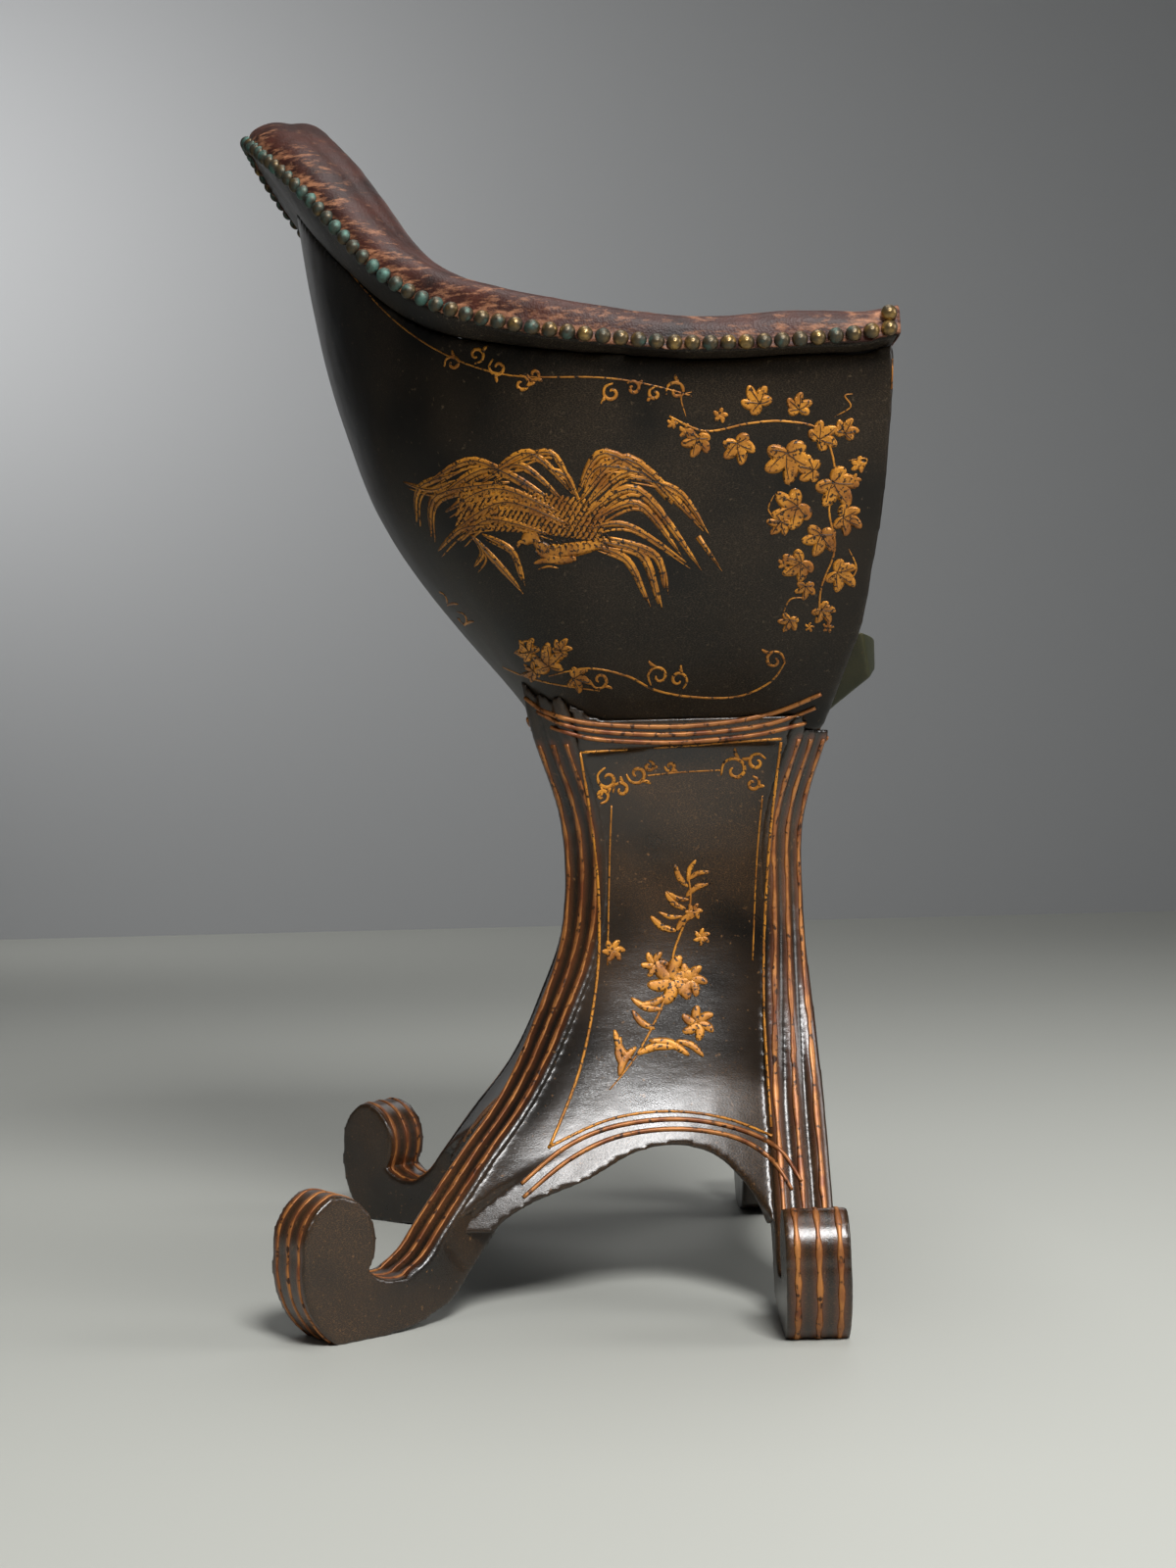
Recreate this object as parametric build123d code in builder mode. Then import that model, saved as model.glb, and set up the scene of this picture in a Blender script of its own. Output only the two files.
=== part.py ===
"""Lacquered gondola armchair: a coopered tub seat on a waisted four-scroll pedestal.

The chair faces +X, +Z is up and the origin lies on the floor under the middle of
the chair. Every length is in millimetres. The sitter's left is +Y.
"""
import os
from math import atan2, cos, degrees, radians, sin

from build123d import *

os.makedirs("parts", exist_ok=True)

# Tub: a D-shaped bowl that leans back as it rises, open to the front
tub_base_height = 424.0
tub_rise = 446.0
spring_x = 35.0
tub_depth = 244.0
tub_half_width = 258.0
tub_front_x = 235.5
open_front_x = 275.0
wall = 16.0
floor_board = 13.0
cut_overrun = 40.0
fit = 0.3

# Rise, depth behind the spring line, half width, and how round the rear corners are
level_shares = (
    (0.000, 0.201, 0.403, 0.860),
    (0.058, 0.283, 0.500, 0.870),
    (0.126, 0.381, 0.605, 0.870),
    (0.193, 0.484, 0.690, 0.870),
    (0.283, 0.611, 0.783, 0.880),
    (0.395, 0.738, 0.860, 0.900),
    (0.460, 0.790, 0.896, 0.913),
    (0.529, 0.832, 0.926, 0.925),
    (0.596, 0.871, 0.946, 0.933),
    (0.664, 0.905, 0.961, 0.940),
    (0.742, 0.935, 0.973, 0.945),
    (0.821, 0.960, 0.983, 0.950),
    (0.880, 0.976, 0.990, 0.954),
    (0.940, 0.990, 0.995, 0.957),
    (1.000, 1.003, 1.000, 0.960),
)

# Front edge of the arm boards from the side: rise, and reach in front of the spring line
front_edge_shares = (
    (0.000, 0.792), (0.036, 0.822), (0.114, 0.876), (0.164, 0.911),
    (0.242, 0.936), (0.332, 0.965), (0.421, 0.983), (0.560, 1.000),
)

# Joints between the tub's boards
back_stave_angle = 21.0
quarter_stave_angle = 60.0
side_joint_x = 107.0

# Rim: a flared wooden rail, its stuffing and its leather
arm_line_height = 681.0
crest_line_height = 850.0
arm_lip = 14.0
crest_lip = 37.0
arm_tip_rise = 1.5
crest_tip_rise = 50.0
arm_edge = 17.0
crest_edge = 13.0
edge_tilt = 5.0
arm_roll = 28.0
crest_roll = 70.0
leather = 2.4
lining_padding = 8.0
rim_front_x = 236.0

# Round the back by angle from the middle of the back: line, lip, tip rise and roll
# each as a share of the way from the arm's value to the crest's value
rim_back_shares = (
    (0.0, 1.00, 1.00, 1.00, 1.00),
    (12.0, 0.91, 1.00, 1.02, 1.03),
    (24.0, 0.70, 0.95, 1.08, 1.16),
    (36.0, 0.44, 0.75, 0.90, 0.98),
    (48.0, 0.24, 0.50, 0.48, 0.57),
    (60.0, 0.136, 0.26, 0.22, 0.35),
    (74.0, 0.071, 0.10, 0.09, 0.21),
    (90.0, 0.030, 0.00, 0.02, 0.07),
)
# Along the straight arm: reach in front of the spring line, line and roll
rim_arm_shares = (
    (0.22, 0.006, 0.00), (0.46, 0.000, 0.00), (0.72, 0.010, 0.00), (1.00, 0.047, -0.12),
)

# Brass nails
nail_pitch = 12.4
nail_head = 11.3
nail_dome = 5.0
nail_shank = 2.0
nail_length = 8.0
nail_rise_share = 0.35
nail_stack = 10.5

# Seat: rails inside the tub, a bowed apron in front, webbing and a crowned leather pad
seat_front_x = 244.5
seat_rail_bottom = 455.0
seat_rail_top = 480.0
seat_rail_width = 26.0
seat_bow = 26.0
apron_top = 494.0
apron_depth = 54.0
apron_chin_setback = 46.0
apron_face = 19.0
apron_rebate = 12.0
apron_round = 3.0
strap_width = 42.0
strap_thickness = 1.6
strap_gap = 22.0
pad_crown_height = 516.0

# Seat pad: height up to its crown, how far its sides are drawn in, and its front held back
pad_shares = (
    (0.00, 0.015, 1.00), (0.36, 0.00, 1.00), (0.52, 0.02, 0.40), (0.70, 0.12, 0.00),
    (0.86, 0.32, 0.00), (0.96, 0.62, 0.00),
)
pad_draw_in = 90.0

# Pedestal legs: waist, spread and scroll foot
waist_height = 311.0
waist_centre_x = 87.4
waist_post_reach = 77.0
waist_post_side = 76.0
leg_width = 44.0
leg_depth = 37.0
reed_height = 3.2
foot_width = 45.0
top_flare = 70.0
leg_top_height = 490.0
rear_spread_angle = 37.5
front_spread_angle = 90.0
post_angle = 45.0
rear_reach = 238.0
front_reach = 174.0
rear_foot_height = 104.0
front_foot_height = 90.0

# Leg face above the waist: height and outward flare, both from waist to top
upper_leg_shares = (
    (1.00, 0.66), (0.89, 0.61), (0.75, 0.53), (0.60, 0.40), (0.44, 0.21), (0.29, 0.07), (0.13, 0.0),
)
# Leg face below the waist: height from the foot's root to the waist, and reach to the root
lower_leg_shares = (
    (1.00, 0.00), (0.915, 0.012), (0.83, 0.040), (0.75, 0.085), (0.67, 0.150), (0.55, 0.250),
    (0.43, 0.370), (0.35, 0.475), (0.285, 0.575), (0.21, 0.682), (0.14, 0.777), (0.07, 0.870),
    (0.00, 1.000),
)
# How much of the reach to the root a leg takes to turn from the waist to its spread
turned_by_share = 0.4

# Scroll foot about the middle of its contact with the floor, in foot heights: outward, up
root_top_shares = (-0.567, 0.385)
foot_outline_shares = {
    "root_top": root_top_shares,
    "dip": (-0.390, 0.372),
    "crease": (-0.212, 0.460),
    "eye_side": (-0.275, 0.740),
    "top": (0.040, 1.000),
    "shoulder": (0.222, 0.860),
    "front": (0.288, 0.600),
    "toe": (0.235, 0.230),
    "sole_front": (0.050, 0.000),
    "sole_back": (-0.220, 0.000),
    "instep": (-0.480, 0.010),
}

# Pedestal panels, mouldings and deck
panel_recess = 5.0
panel_thickness = 14.0
side_arch_height = 116.0
end_arch_height = 112.0
panel_tuck = 2.5
front_panel_tuck = -1.0
panel_bottom = 36.0
moulding_half = 125.0
deck_thickness = 18.0
deck_size = 168.0
block_length = 44.0
block_size = 20.0
block_reach = 81.0

# Heights at which a panel is shaped, from its bottom to the legs' top
panel_height_shares = (
    0.00, 0.07, 0.14, 0.22, 0.31, 0.41, 0.51, 0.605, 0.69, 0.77, 0.85, 0.93, 1.00,
)
# Arches seen square on: distance from the middle of the pedestal in half waists, and height
side_arch_shares = (
    (-1.81, 0.31), (-1.36, 0.68), (-0.82, 0.836), (-0.51, 0.957), (-0.17, 1.00),
    (0.20, 0.922), (0.46, 0.707), (0.57, 0.345),
)
end_arch_shares = (
    (-1.62, 0.36), (-1.24, 0.64), (-0.76, 0.875), (-0.38, 0.97), (0.00, 1.00),
    (0.38, 0.97), (0.76, 0.875), (1.24, 0.64), (1.62, 0.36),
)
# Underside of the top mouldings: height in the middle, at its first and at its last corner
side_moulding_sag = (414.0, 404.0, 412.0)
back_moulding_sag = (436.0, 426.0, 436.0)
front_moulding_sag = (406.0, 404.0, 406.0)
screw_spacing = 110.0
screw_diameter = 4.5
screw_head = 9.0
screw_length = 28.0
screw_head_height = 3.0


def finish(piece, name):
    """Name a finished piece and write it."""
    piece.part.label = name
    export_step(piece.part, f"parts/{name}.step")


def between(table, key, column):
    """Read one column of a table at a key, on straight lines between its rows."""
    for low, high in zip(table, table[1:]):
        if low[0] <= key <= high[0]:
            part = (key - low[0]) / (high[0] - low[0])
            return low[column] + part * (high[column] - low[column])
    return table[-1][column] if key > table[-1][0] else table[0][column]


class TubLevel:
    """The tub's D outline at one height: a back arc, two corner arcs and straight arms."""

    def __init__(self, rise_share):
        self.height = tub_base_height + rise_share * tub_rise
        depth = between(level_shares, rise_share, 1) * tub_depth
        self.half_width = between(level_shares, rise_share, 2) * tub_half_width
        self.corner = between(level_shares, rise_share, 3) * depth
        corner_y = self.half_width - self.corner
        self.back = (depth**2 + corner_y**2 - self.corner**2) / (2 * (depth - self.corner))
        self.back_centre = (spring_x - depth + self.back, 0.0)
        self.corner_centre = (spring_x, -corner_y)
        run_x = self.back_centre[0] - spring_x
        self.joint_angle = degrees(atan2(corner_y, run_x))

    def point(self, angle, inset=0.0):
        """A point of the right-hand half by its outward direction, from 0 at the back."""
        if angle < self.joint_angle:
            centre, radius = self.back_centre, self.back - inset
        else:
            centre, radius = self.corner_centre, self.corner - inset
        turn = radians(angle)
        return (centre[0] - radius * cos(turn), centre[1] - radius * sin(turn))


def d_outline(level, inset, front_x, bow=0.0):
    """The tub's outline at a level, moved in by an inset, with a straight or bowed front."""
    back = level.point(0, inset)
    joint = level.point(level.joint_angle, inset)
    bend = level.point((level.joint_angle + 90) / 2, inset)
    side = level.point(90, inset)
    with BuildSketch(Plane.XY.offset(level.height)) as outline:
        with BuildLine():
            if bow:
                ThreePointArc((front_x - bow, -side[1]), (front_x, 0), (front_x - bow, side[1]))
            else:
                Line((front_x, -side[1]), (front_x, side[1]))
            Line((front_x - bow, side[1]), side)
            ThreePointArc(side, bend, joint)
            ThreePointArc(joint, back, (joint[0], -joint[1]))
            ThreePointArc((joint[0], -joint[1]), (bend[0], -bend[1]), (side[0], -side[1]))
            Line((side[0], -side[1]), (front_x - bow, -side[1]))
        make_face()
    return outline.sketch


def tub_solid(inset):
    """The whole bowl as a solid block, moved in by an inset."""
    levels = [TubLevel(row[0]) for row in level_shares]
    with BuildPart() as block:
        loft([d_outline(level, inset, open_front_x) for level in levels])
    return block.part


class RimStation:
    """One place along the rim: where it stands and how its section is shaped there."""

    def __init__(self, x, y, normal, line_share, lip_share, tip_share, roll_share):
        rise = crest_line_height - arm_line_height
        self.height = arm_line_height + line_share * rise
        self.place = (x, y, self.height)
        self.normal = normal
        self.lip = arm_lip + lip_share * (crest_lip - arm_lip)
        self.tip = arm_tip_rise + tip_share * (crest_tip_rise - arm_tip_rise)
        self.edge = arm_edge + lip_share * (crest_edge - arm_edge)
        self.tilt = edge_tilt / 2 * (1 + lip_share)
        self.roll = arm_roll + roll_share * (crest_roll - arm_roll)

    def plane(self):
        """The upright plane across the rim, with its X axis pointing outwards."""
        nx, ny = self.normal
        return Plane(origin=self.place, x_dir=(nx, ny, 0), z_dir=(ny, -nx, 0))

    def mirrored(self):
        """The same station on the sitter's left."""
        twin = object.__new__(RimStation)
        twin.__dict__.update(self.__dict__)
        twin.place = (self.place[0], -self.place[1], self.place[2])
        twin.normal = (self.normal[0], -self.normal[1])
        return twin


def rim_stations():
    """Stations from the right arm's front, round the back, to the left arm's front."""
    rise = crest_line_height - arm_line_height
    half = []
    for angle, line_share, lip_share, tip_share, roll_share in rim_back_shares:
        height = arm_line_height + line_share * rise
        level = TubLevel((height - tub_base_height) / tub_rise)
        x, y = level.point(angle)
        normal = (-cos(radians(angle)), -sin(radians(angle)))
        half.append(RimStation(x, y, normal, line_share, lip_share, tip_share, roll_share))
    for reach_share, line_share, roll_share in rim_arm_shares:
        height = arm_line_height + line_share * rise
        level = TubLevel((height - tub_base_height) / tub_rise)
        x = spring_x + reach_share * (rim_front_x - spring_x)
        half.append(RimStation(x, -level.half_width, (0, -1), line_share, 0, 0, roll_share))
    return half[::-1] + [station.mirrored() for station in half[1:]]


stations = rim_stations()
lining = fit + lining_padding + fit + leather


def rim_cut_section(station):
    """Everything above the rim's lower line."""
    inside = wall + lining + cut_overrun
    with BuildSketch(station.plane()) as section:
        with BuildLine():
            Polyline(
                (-inside, 0), (cut_overrun, 0), (cut_overrun, tub_rise),
                (-inside, tub_rise), close=True,
            )
        make_face()
    return section.sketch


def rail_section(station):
    """The wooden rail: a foot on the tub's edge, a flared lip and a nailing edge."""
    with BuildSketch(station.plane()) as section:
        with BuildLine():
            Polyline(
                (-wall, fit), (-fit, fit),
                (station.lip, station.tip + fit),
                (station.lip - station.tilt, station.tip + station.edge),
                (-wall, (station.tip + station.edge + station.roll) / 3),
                close=True,
            )
        make_face()
    return section.sketch


def roll_points(station, skin):
    """Corner points of the padded roll, moved in by the thickness of a skin."""
    shoulder = (station.lip - station.tilt + fit + leather - skin, station.tip + station.edge)
    crown = ((station.lip - wall - lining) / 3, station.roll - skin)
    inner = (skin - wall - lining, (station.roll + station.tip) / 2)
    outer_bend = ((shoulder[0] + crown[0]) / 2 + leather, (shoulder[1] + 3 * crown[1]) / 4 + leather)
    inner_bend = ((inner[0] + crown[0]) / 2 - leather, (inner[1] + 3 * crown[1]) / 4 + leather)
    return shoulder, outer_bend, crown, inner_bend, inner


def stuffing_section(station):
    """The stuffing between the rail and the leather."""
    shoulder, outer_bend, crown, inner_bend, inner = roll_points(station, leather + fit)
    rail_inner = (station.tip + station.edge + station.roll) / 3 + fit
    with BuildSketch(station.plane()) as section:
        with BuildLine():
            Line((-wall - fit, fit), (-wall - fit, rail_inner))
            Line((-wall - fit, rail_inner), (shoulder[0], shoulder[1] + fit))
            ThreePointArc((shoulder[0], shoulder[1] + fit), outer_bend, crown)
            ThreePointArc(crown, inner_bend, inner)
            Line(inner, (inner[0], fit))
            Line((inner[0], fit), (-wall - fit, fit))
        make_face()
    return section.sketch


def leather_section(station):
    """The leather strip, from the nailing edge over the roll to the inside of the tub."""
    shoulder, outer_bend, crown, inner_bend, inner = roll_points(station, 0)
    lower, low_bend, low_crown, low_inner_bend, low_inner = roll_points(station, leather)
    hem = (station.lip + fit + leather, station.tip)
    low_hem = (station.lip + fit, station.tip)
    with BuildSketch(station.plane()) as section:
        with BuildLine():
            Line(hem, shoulder)
            ThreePointArc(shoulder, outer_bend, crown)
            ThreePointArc(crown, inner_bend, inner)
            Line(inner, (inner[0], fit))
            Line((inner[0], fit), (low_inner[0], fit))
            Line((low_inner[0], fit), low_inner)
            ThreePointArc(low_inner, low_inner_bend, low_crown)
            ThreePointArc(low_crown, low_bend, lower)
            Line(lower, low_hem)
            Line(low_hem, hem)
        make_face()
    return section.sketch


def leather_cap_section(station):
    """The whole end of the rim roll, covered by leather at the arm's front."""
    shoulder, outer_bend, crown, inner_bend, inner = roll_points(station, 0)
    hem = (station.lip + fit + leather, station.tip)
    with BuildSketch(station.plane()) as section:
        with BuildLine():
            Line(hem, shoulder)
            ThreePointArc(shoulder, outer_bend, crown)
            ThreePointArc(crown, inner_bend, inner)
            Line(inner, (inner[0], fit))
            Line((inner[0], fit), (0, fit))
            Line((0, fit), hem)
        make_face()
    return section.sketch


def rim_loft(section):
    """Run a section round the whole rim."""
    with BuildPart() as run:
        loft([section(station) for station in stations])
    return run.part


def wedge(start_angle, end_angle, front_x):
    """An upright wedge of the right-hand half, up to front_x once past the sides."""
    reach = tub_depth * 2
    corners = [(spring_x, 0)]
    for angle in (start_angle, (start_angle + end_angle) / 2, end_angle):
        turn = radians(angle)
        corners.append((spring_x - reach * cos(turn), -reach * sin(turn)))
    if front_x > spring_x:
        corners[-1] = (spring_x, -reach)
        corners += [(front_x, -reach), (front_x, 0)]
    with BuildPart() as block:
        with BuildSketch():
            with BuildLine():
                Polyline(*corners, close=True)
            make_face()
        extrude(amount=2 * (tub_base_height + tub_rise))
    return block.part


def long_block(start_x, end_x):
    """An upright block of the right-hand half between two X values."""
    reach = tub_depth * 2
    with BuildPart() as block:
        with BuildSketch():
            with BuildLine():
                Polyline((start_x, 0), (start_x, -reach), (end_x, -reach), (end_x, 0), close=True)
            make_face()
        extrude(amount=2 * (tub_base_height + tub_rise))
    return block.part


# Tool solids of the tub
tub_outer = tub_solid(0)
tub_inner = tub_solid(wall)
tub_fit = tub_solid(wall + fit)
rim_above = rim_loft(rim_cut_section)

with BuildPart() as front_cut:
    with BuildSketch(Plane.XZ):
        with BuildLine():
            edge_points = [
                (spring_x + reach * (tub_front_x - spring_x), tub_base_height + rise * tub_rise)
                for rise, reach in front_edge_shares
            ]
            Spline(*edge_points)
            Polyline(
                edge_points[-1], (tub_front_x, tub_base_height + 2 * tub_rise),
                (open_front_x + cut_overrun, tub_base_height + 2 * tub_rise),
                (open_front_x + cut_overrun, tub_base_height), edge_points[0],
            )
        make_face()
    extrude(amount=2 * tub_half_width, both=True)

with BuildPart() as tub_shell:
    add(tub_outer)
    add(tub_inner, mode=Mode.SUBTRACT)
    add(rim_above, mode=Mode.SUBTRACT)
    add(front_cut.part, mode=Mode.SUBTRACT)

with BuildPart() as back_half_wedge:
    add(wedge(0, back_stave_angle, spring_x))
    mirror(about=Plane.XZ)

with BuildPart() as tub_back_board:
    add(tub_shell.part)
    add(back_half_wedge.part, mode=Mode.INTERSECT)
finish(tub_back_board, "tub_back_board")

board_cuts = {
    "tub_quarter_board": wedge(back_stave_angle, quarter_stave_angle, spring_x),
    "tub_side_board": wedge(quarter_stave_angle, 90, side_joint_x),
    "tub_arm_board": long_block(side_joint_x, open_front_x),
}
for board_name, board_cut in board_cuts.items():
    with BuildPart() as right_board:
        add(tub_shell.part)
        add(board_cut, mode=Mode.INTERSECT)
    finish(right_board, f"{board_name}_right")
    with BuildPart() as left_board:
        mirror(right_board.part, about=Plane.XZ)
    finish(left_board, f"{board_name}_left")

with BuildPart() as tub_floor:
    add(tub_inner)
    with BuildSketch(Plane.XY.offset(tub_base_height)):
        Rectangle(4 * tub_half_width, 4 * tub_half_width)
    extrude(amount=floor_board, mode=Mode.INTERSECT)
    add(front_cut.part, mode=Mode.SUBTRACT)
    with Locations(Plane.XY.offset(tub_base_height)):
        with Locations((waist_centre_x, 0)):
            with GridLocations(screw_spacing, screw_spacing, 2, 2):
                Cylinder(
                    screw_diameter / 2, screw_length - deck_thickness + fit,
                    align=(Align.CENTER, Align.CENTER, Align.MIN), mode=Mode.SUBTRACT,
                )
finish(tub_floor, "tub_floor")


def cut_at(split_x):
    """A tall block of both halves behind an X value, inside the joint between two rails."""
    with BuildPart() as block:
        with BuildSketch():
            with Locations((split_x, 0)):
                Rectangle(4 * tub_depth, 4 * tub_half_width, align=(Align.MAX, Align.CENTER))
        extrude(amount=2 * (tub_base_height + tub_rise))
    return block.part


# Rim rails: the crest rail and one rail for each arm, butt jointed
rail_joint_x = TubLevel(0.6).point(quarter_stave_angle)[0]
rim_rail = rim_loft(rail_section)
behind_rail_joint = cut_at(rail_joint_x)

with BuildPart() as crest_rail:
    add(rim_rail)
    add(behind_rail_joint, mode=Mode.INTERSECT)
finish(crest_rail, "crest_rail")

with BuildPart() as arm_rail_right:
    add(rim_rail)
    add(behind_rail_joint, mode=Mode.SUBTRACT)
    split(bisect_by=Plane.XZ, keep=Keep.TOP)
finish(arm_rail_right, "arm_rail_right")

with BuildPart() as arm_rail_left:
    mirror(arm_rail_right.part, about=Plane.XZ)
finish(arm_rail_left, "arm_rail_left")

with BuildPart() as rim_stuffing:
    add(rim_loft(stuffing_section))
finish(rim_stuffing, "rim_stuffing")

with BuildPart() as rim_leather:
    add(rim_loft(leather_section))
    for end_station in (stations[0], stations[-1]):
        extrude(leather_cap_section(end_station), amount=leather, dir=(1, 0, 0))
finish(rim_leather, "rim_leather")


def slab(bottom, top):
    """A wide flat block between two heights."""
    with BuildPart() as block:
        with BuildSketch(Plane.XY.offset(bottom)):
            Rectangle(4 * tub_depth, 4 * tub_half_width)
        extrude(amount=top - bottom)
    return block.part


strap_top = seat_rail_top + 2 * strap_thickness + fit

# Seat rails: a ring let into the tub, cut at its corners
rail_level = TubLevel((seat_rail_bottom - tub_base_height) / tub_rise)
apron_back_x = seat_front_x - apron_depth
ledge_back_x = apron_back_x - fit - seat_rail_width

with BuildPart() as seat_ring:
    add(tub_fit)
    add(slab(seat_rail_bottom, seat_rail_top), mode=Mode.INTERSECT)
    extrude(
        d_outline(rail_level, wall + fit + seat_rail_width, ledge_back_x),
        amount=seat_rail_top - seat_rail_bottom, mode=Mode.SUBTRACT,
    )
    add(cut_at(apron_back_x - fit), mode=Mode.INTERSECT)

with BuildPart() as seat_rail_front:
    add(seat_ring.part)
    add(cut_at(ledge_back_x), mode=Mode.SUBTRACT)
finish(seat_rail_front, "seat_rail_front")

with BuildPart() as seat_rail_back:
    add(seat_ring.part)
    add(cut_at(spring_x), mode=Mode.INTERSECT)
finish(seat_rail_back, "seat_rail_back")

with BuildPart() as seat_rail_right:
    add(seat_ring.part)
    add(cut_at(spring_x), mode=Mode.SUBTRACT)
    add(cut_at(ledge_back_x), mode=Mode.INTERSECT)
    split(bisect_by=Plane.XZ, keep=Keep.TOP)
finish(seat_rail_right, "seat_rail_right")

with BuildPart() as seat_rail_left:
    mirror(seat_rail_right.part, about=Plane.XZ)
finish(seat_rail_left, "seat_rail_left")


def bow_block(front_x, bottom, top):
    """A block whose front is bowed like the seat's, between two heights."""
    half = tub_half_width * 0.6
    with BuildPart() as block:
        with BuildSketch(Plane.XY.offset(bottom)):
            with BuildLine():
                ThreePointArc((front_x - seat_bow, -half), (front_x, 0), (front_x - seat_bow, half))
                Polyline(
                    (front_x - seat_bow, half), (apron_back_x - cut_overrun, half),
                    (apron_back_x - cut_overrun, -half), (front_x - seat_bow, -half),
                )
            make_face()
        extrude(amount=top - bottom)
    return block.part


# The green front apron, rebated behind its top edge for the seat leather
apron_bottom = tub_base_height + floor_board + fit
with BuildPart() as seat_apron:
    with BuildSketch(Plane.XZ):
        with BuildLine():
            Polyline(
                (apron_back_x, apron_bottom),
                (seat_front_x - apron_chin_setback, apron_bottom),
                (seat_front_x, apron_top - apron_face),
                (seat_front_x, apron_top - apron_round),
                (seat_front_x - apron_round, apron_top),
                (apron_back_x, apron_top),
                close=True,
            )
        make_face()
    extrude(amount=2 * tub_half_width, both=True)
    add(bow_block(seat_front_x, tub_base_height, apron_top), mode=Mode.INTERSECT)
    add(tub_fit, mode=Mode.INTERSECT)
    add(bow_block(seat_front_x - apron_rebate, seat_rail_top, apron_top), mode=Mode.SUBTRACT)
finish(seat_apron, "seat_apron")

# Upholstery inside the tub, from the seat up to the rim
lining_space = slab(strap_top, tub_base_height + tub_rise)
for lining_name, outer_inset, inner_inset in (
    ("inside_padding", wall + fit, wall + fit + lining_padding),
    ("inside_leather", wall + 2 * fit + lining_padding, wall + lining),
):
    with BuildPart() as inside_layer:
        add(tub_solid(outer_inset))
        add(tub_solid(inner_inset), mode=Mode.SUBTRACT)
        add(lining_space, mode=Mode.INTERSECT)
        add(rim_above, mode=Mode.SUBTRACT)
        add(front_cut.part, mode=Mode.SUBTRACT)
        add(seat_apron.part, mode=Mode.SUBTRACT)
    finish(inside_layer, lining_name)

# Webbing: three straps from side to side under three from back to front
strap_pitch = strap_width + strap_gap
strap_span = 4 * tub_half_width
with BuildPart() as seat_webbing:
    with Locations(Plane.XY.offset(seat_rail_top)):
        with Locations((waist_centre_x, 0)):
            with GridLocations(strap_pitch, 0, 3, 1):
                Box(
                    strap_width, strap_span, strap_thickness,
                    align=(Align.CENTER, Align.CENTER, Align.MIN),
                )
    add(tub_fit, mode=Mode.INTERSECT)
with BuildPart() as long_straps:
    with Locations(Plane.XY.offset(seat_rail_top + strap_thickness)):
        with GridLocations(0, strap_pitch, 1, 3):
            Box(
                strap_span, strap_width, strap_thickness,
                align=(Align.CENTER, Align.CENTER, Align.MIN),
            )
    add(tub_fit, mode=Mode.INTERSECT)
    add(cut_at(apron_back_x - fit), mode=Mode.INTERSECT)
with BuildPart() as webbing:
    add(seat_webbing.part)
    add(long_straps.part)
finish(webbing, "seat_webbing")


def pad_solid(skin):
    """The crowned seat pad, smaller all round by a skin and flat underneath."""
    sections = []
    rise = pad_crown_height - skin - strap_top
    for height_share, draw_share, front_share in pad_shares:
        height = strap_top + height_share * rise
        level = TubLevel((height - tub_base_height) / tub_rise)
        draw_in = draw_share * pad_draw_in + skin
        front = seat_front_x - front_share * apron_rebate - fit - draw_in
        sections.append(d_outline(level, wall + lining + fit + draw_in, front, seat_bow))
    with BuildPart() as pad:
        loft(sections, ruled=True)
    return pad.part


with BuildPart() as seat_stuffing:
    add(pad_solid(leather + fit))
    add(seat_apron.part, mode=Mode.SUBTRACT)
finish(seat_stuffing, "seat_stuffing")

with BuildPart() as seat_leather:
    add(pad_solid(0))
    add(pad_solid(leather), mode=Mode.SUBTRACT)
    add(seat_apron.part, mode=Mode.SUBTRACT)
finish(seat_leather, "seat_leather")


class LegStation:
    """One place down a right-hand leg: the middle of its face and the way it looks."""

    def __init__(self, sign, x, y, height, angle):
        turn = radians(angle)
        self.height = height
        self.place = Vector(x, y, height)
        self.outward = Vector(sign * cos(turn), -sin(turn), 0)
        self.to_side = Vector(-sign * sin(turn), -cos(turn), 0)

    def side_edge(self):
        """The corner shared with the side panel."""
        return self.place + self.to_side * (leg_width / 2)

    def end_edge(self):
        """The corner shared with the front or back panel."""
        return self.place - self.to_side * (leg_width / 2)


def leg_stations(sign, spread_angle, reach, foot_height):
    """Stations from under the tub to the root of the scroll foot."""
    start_x = waist_centre_x + sign * waist_post_reach
    start_y = -waist_post_side
    found = []
    post_turn = radians(post_angle)
    for rise_share, flare_share in upper_leg_shares:
        out = flare_share * top_flare
        height = waist_height + rise_share * (leg_top_height - waist_height)
        x = start_x + sign * out * cos(post_turn)
        found.append(LegStation(sign, x, start_y - out * sin(post_turn), height, post_angle))
    root_reach = reach + root_top_shares[0] * foot_height
    root_height = root_top_shares[1] * foot_height
    spread_turn = radians(spread_angle)
    for rise_share, reach_share in lower_leg_shares:
        out = reach_share * root_reach
        height = root_height + rise_share * (waist_height - root_height)
        x = start_x + sign * out * cos(spread_turn)
        turned = min(1.0, reach_share / turned_by_share)
        angle = post_angle + turned * (spread_angle - post_angle)
        found.append(LegStation(sign, x, start_y - out * sin(spread_turn), height, angle))
    return found


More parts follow.
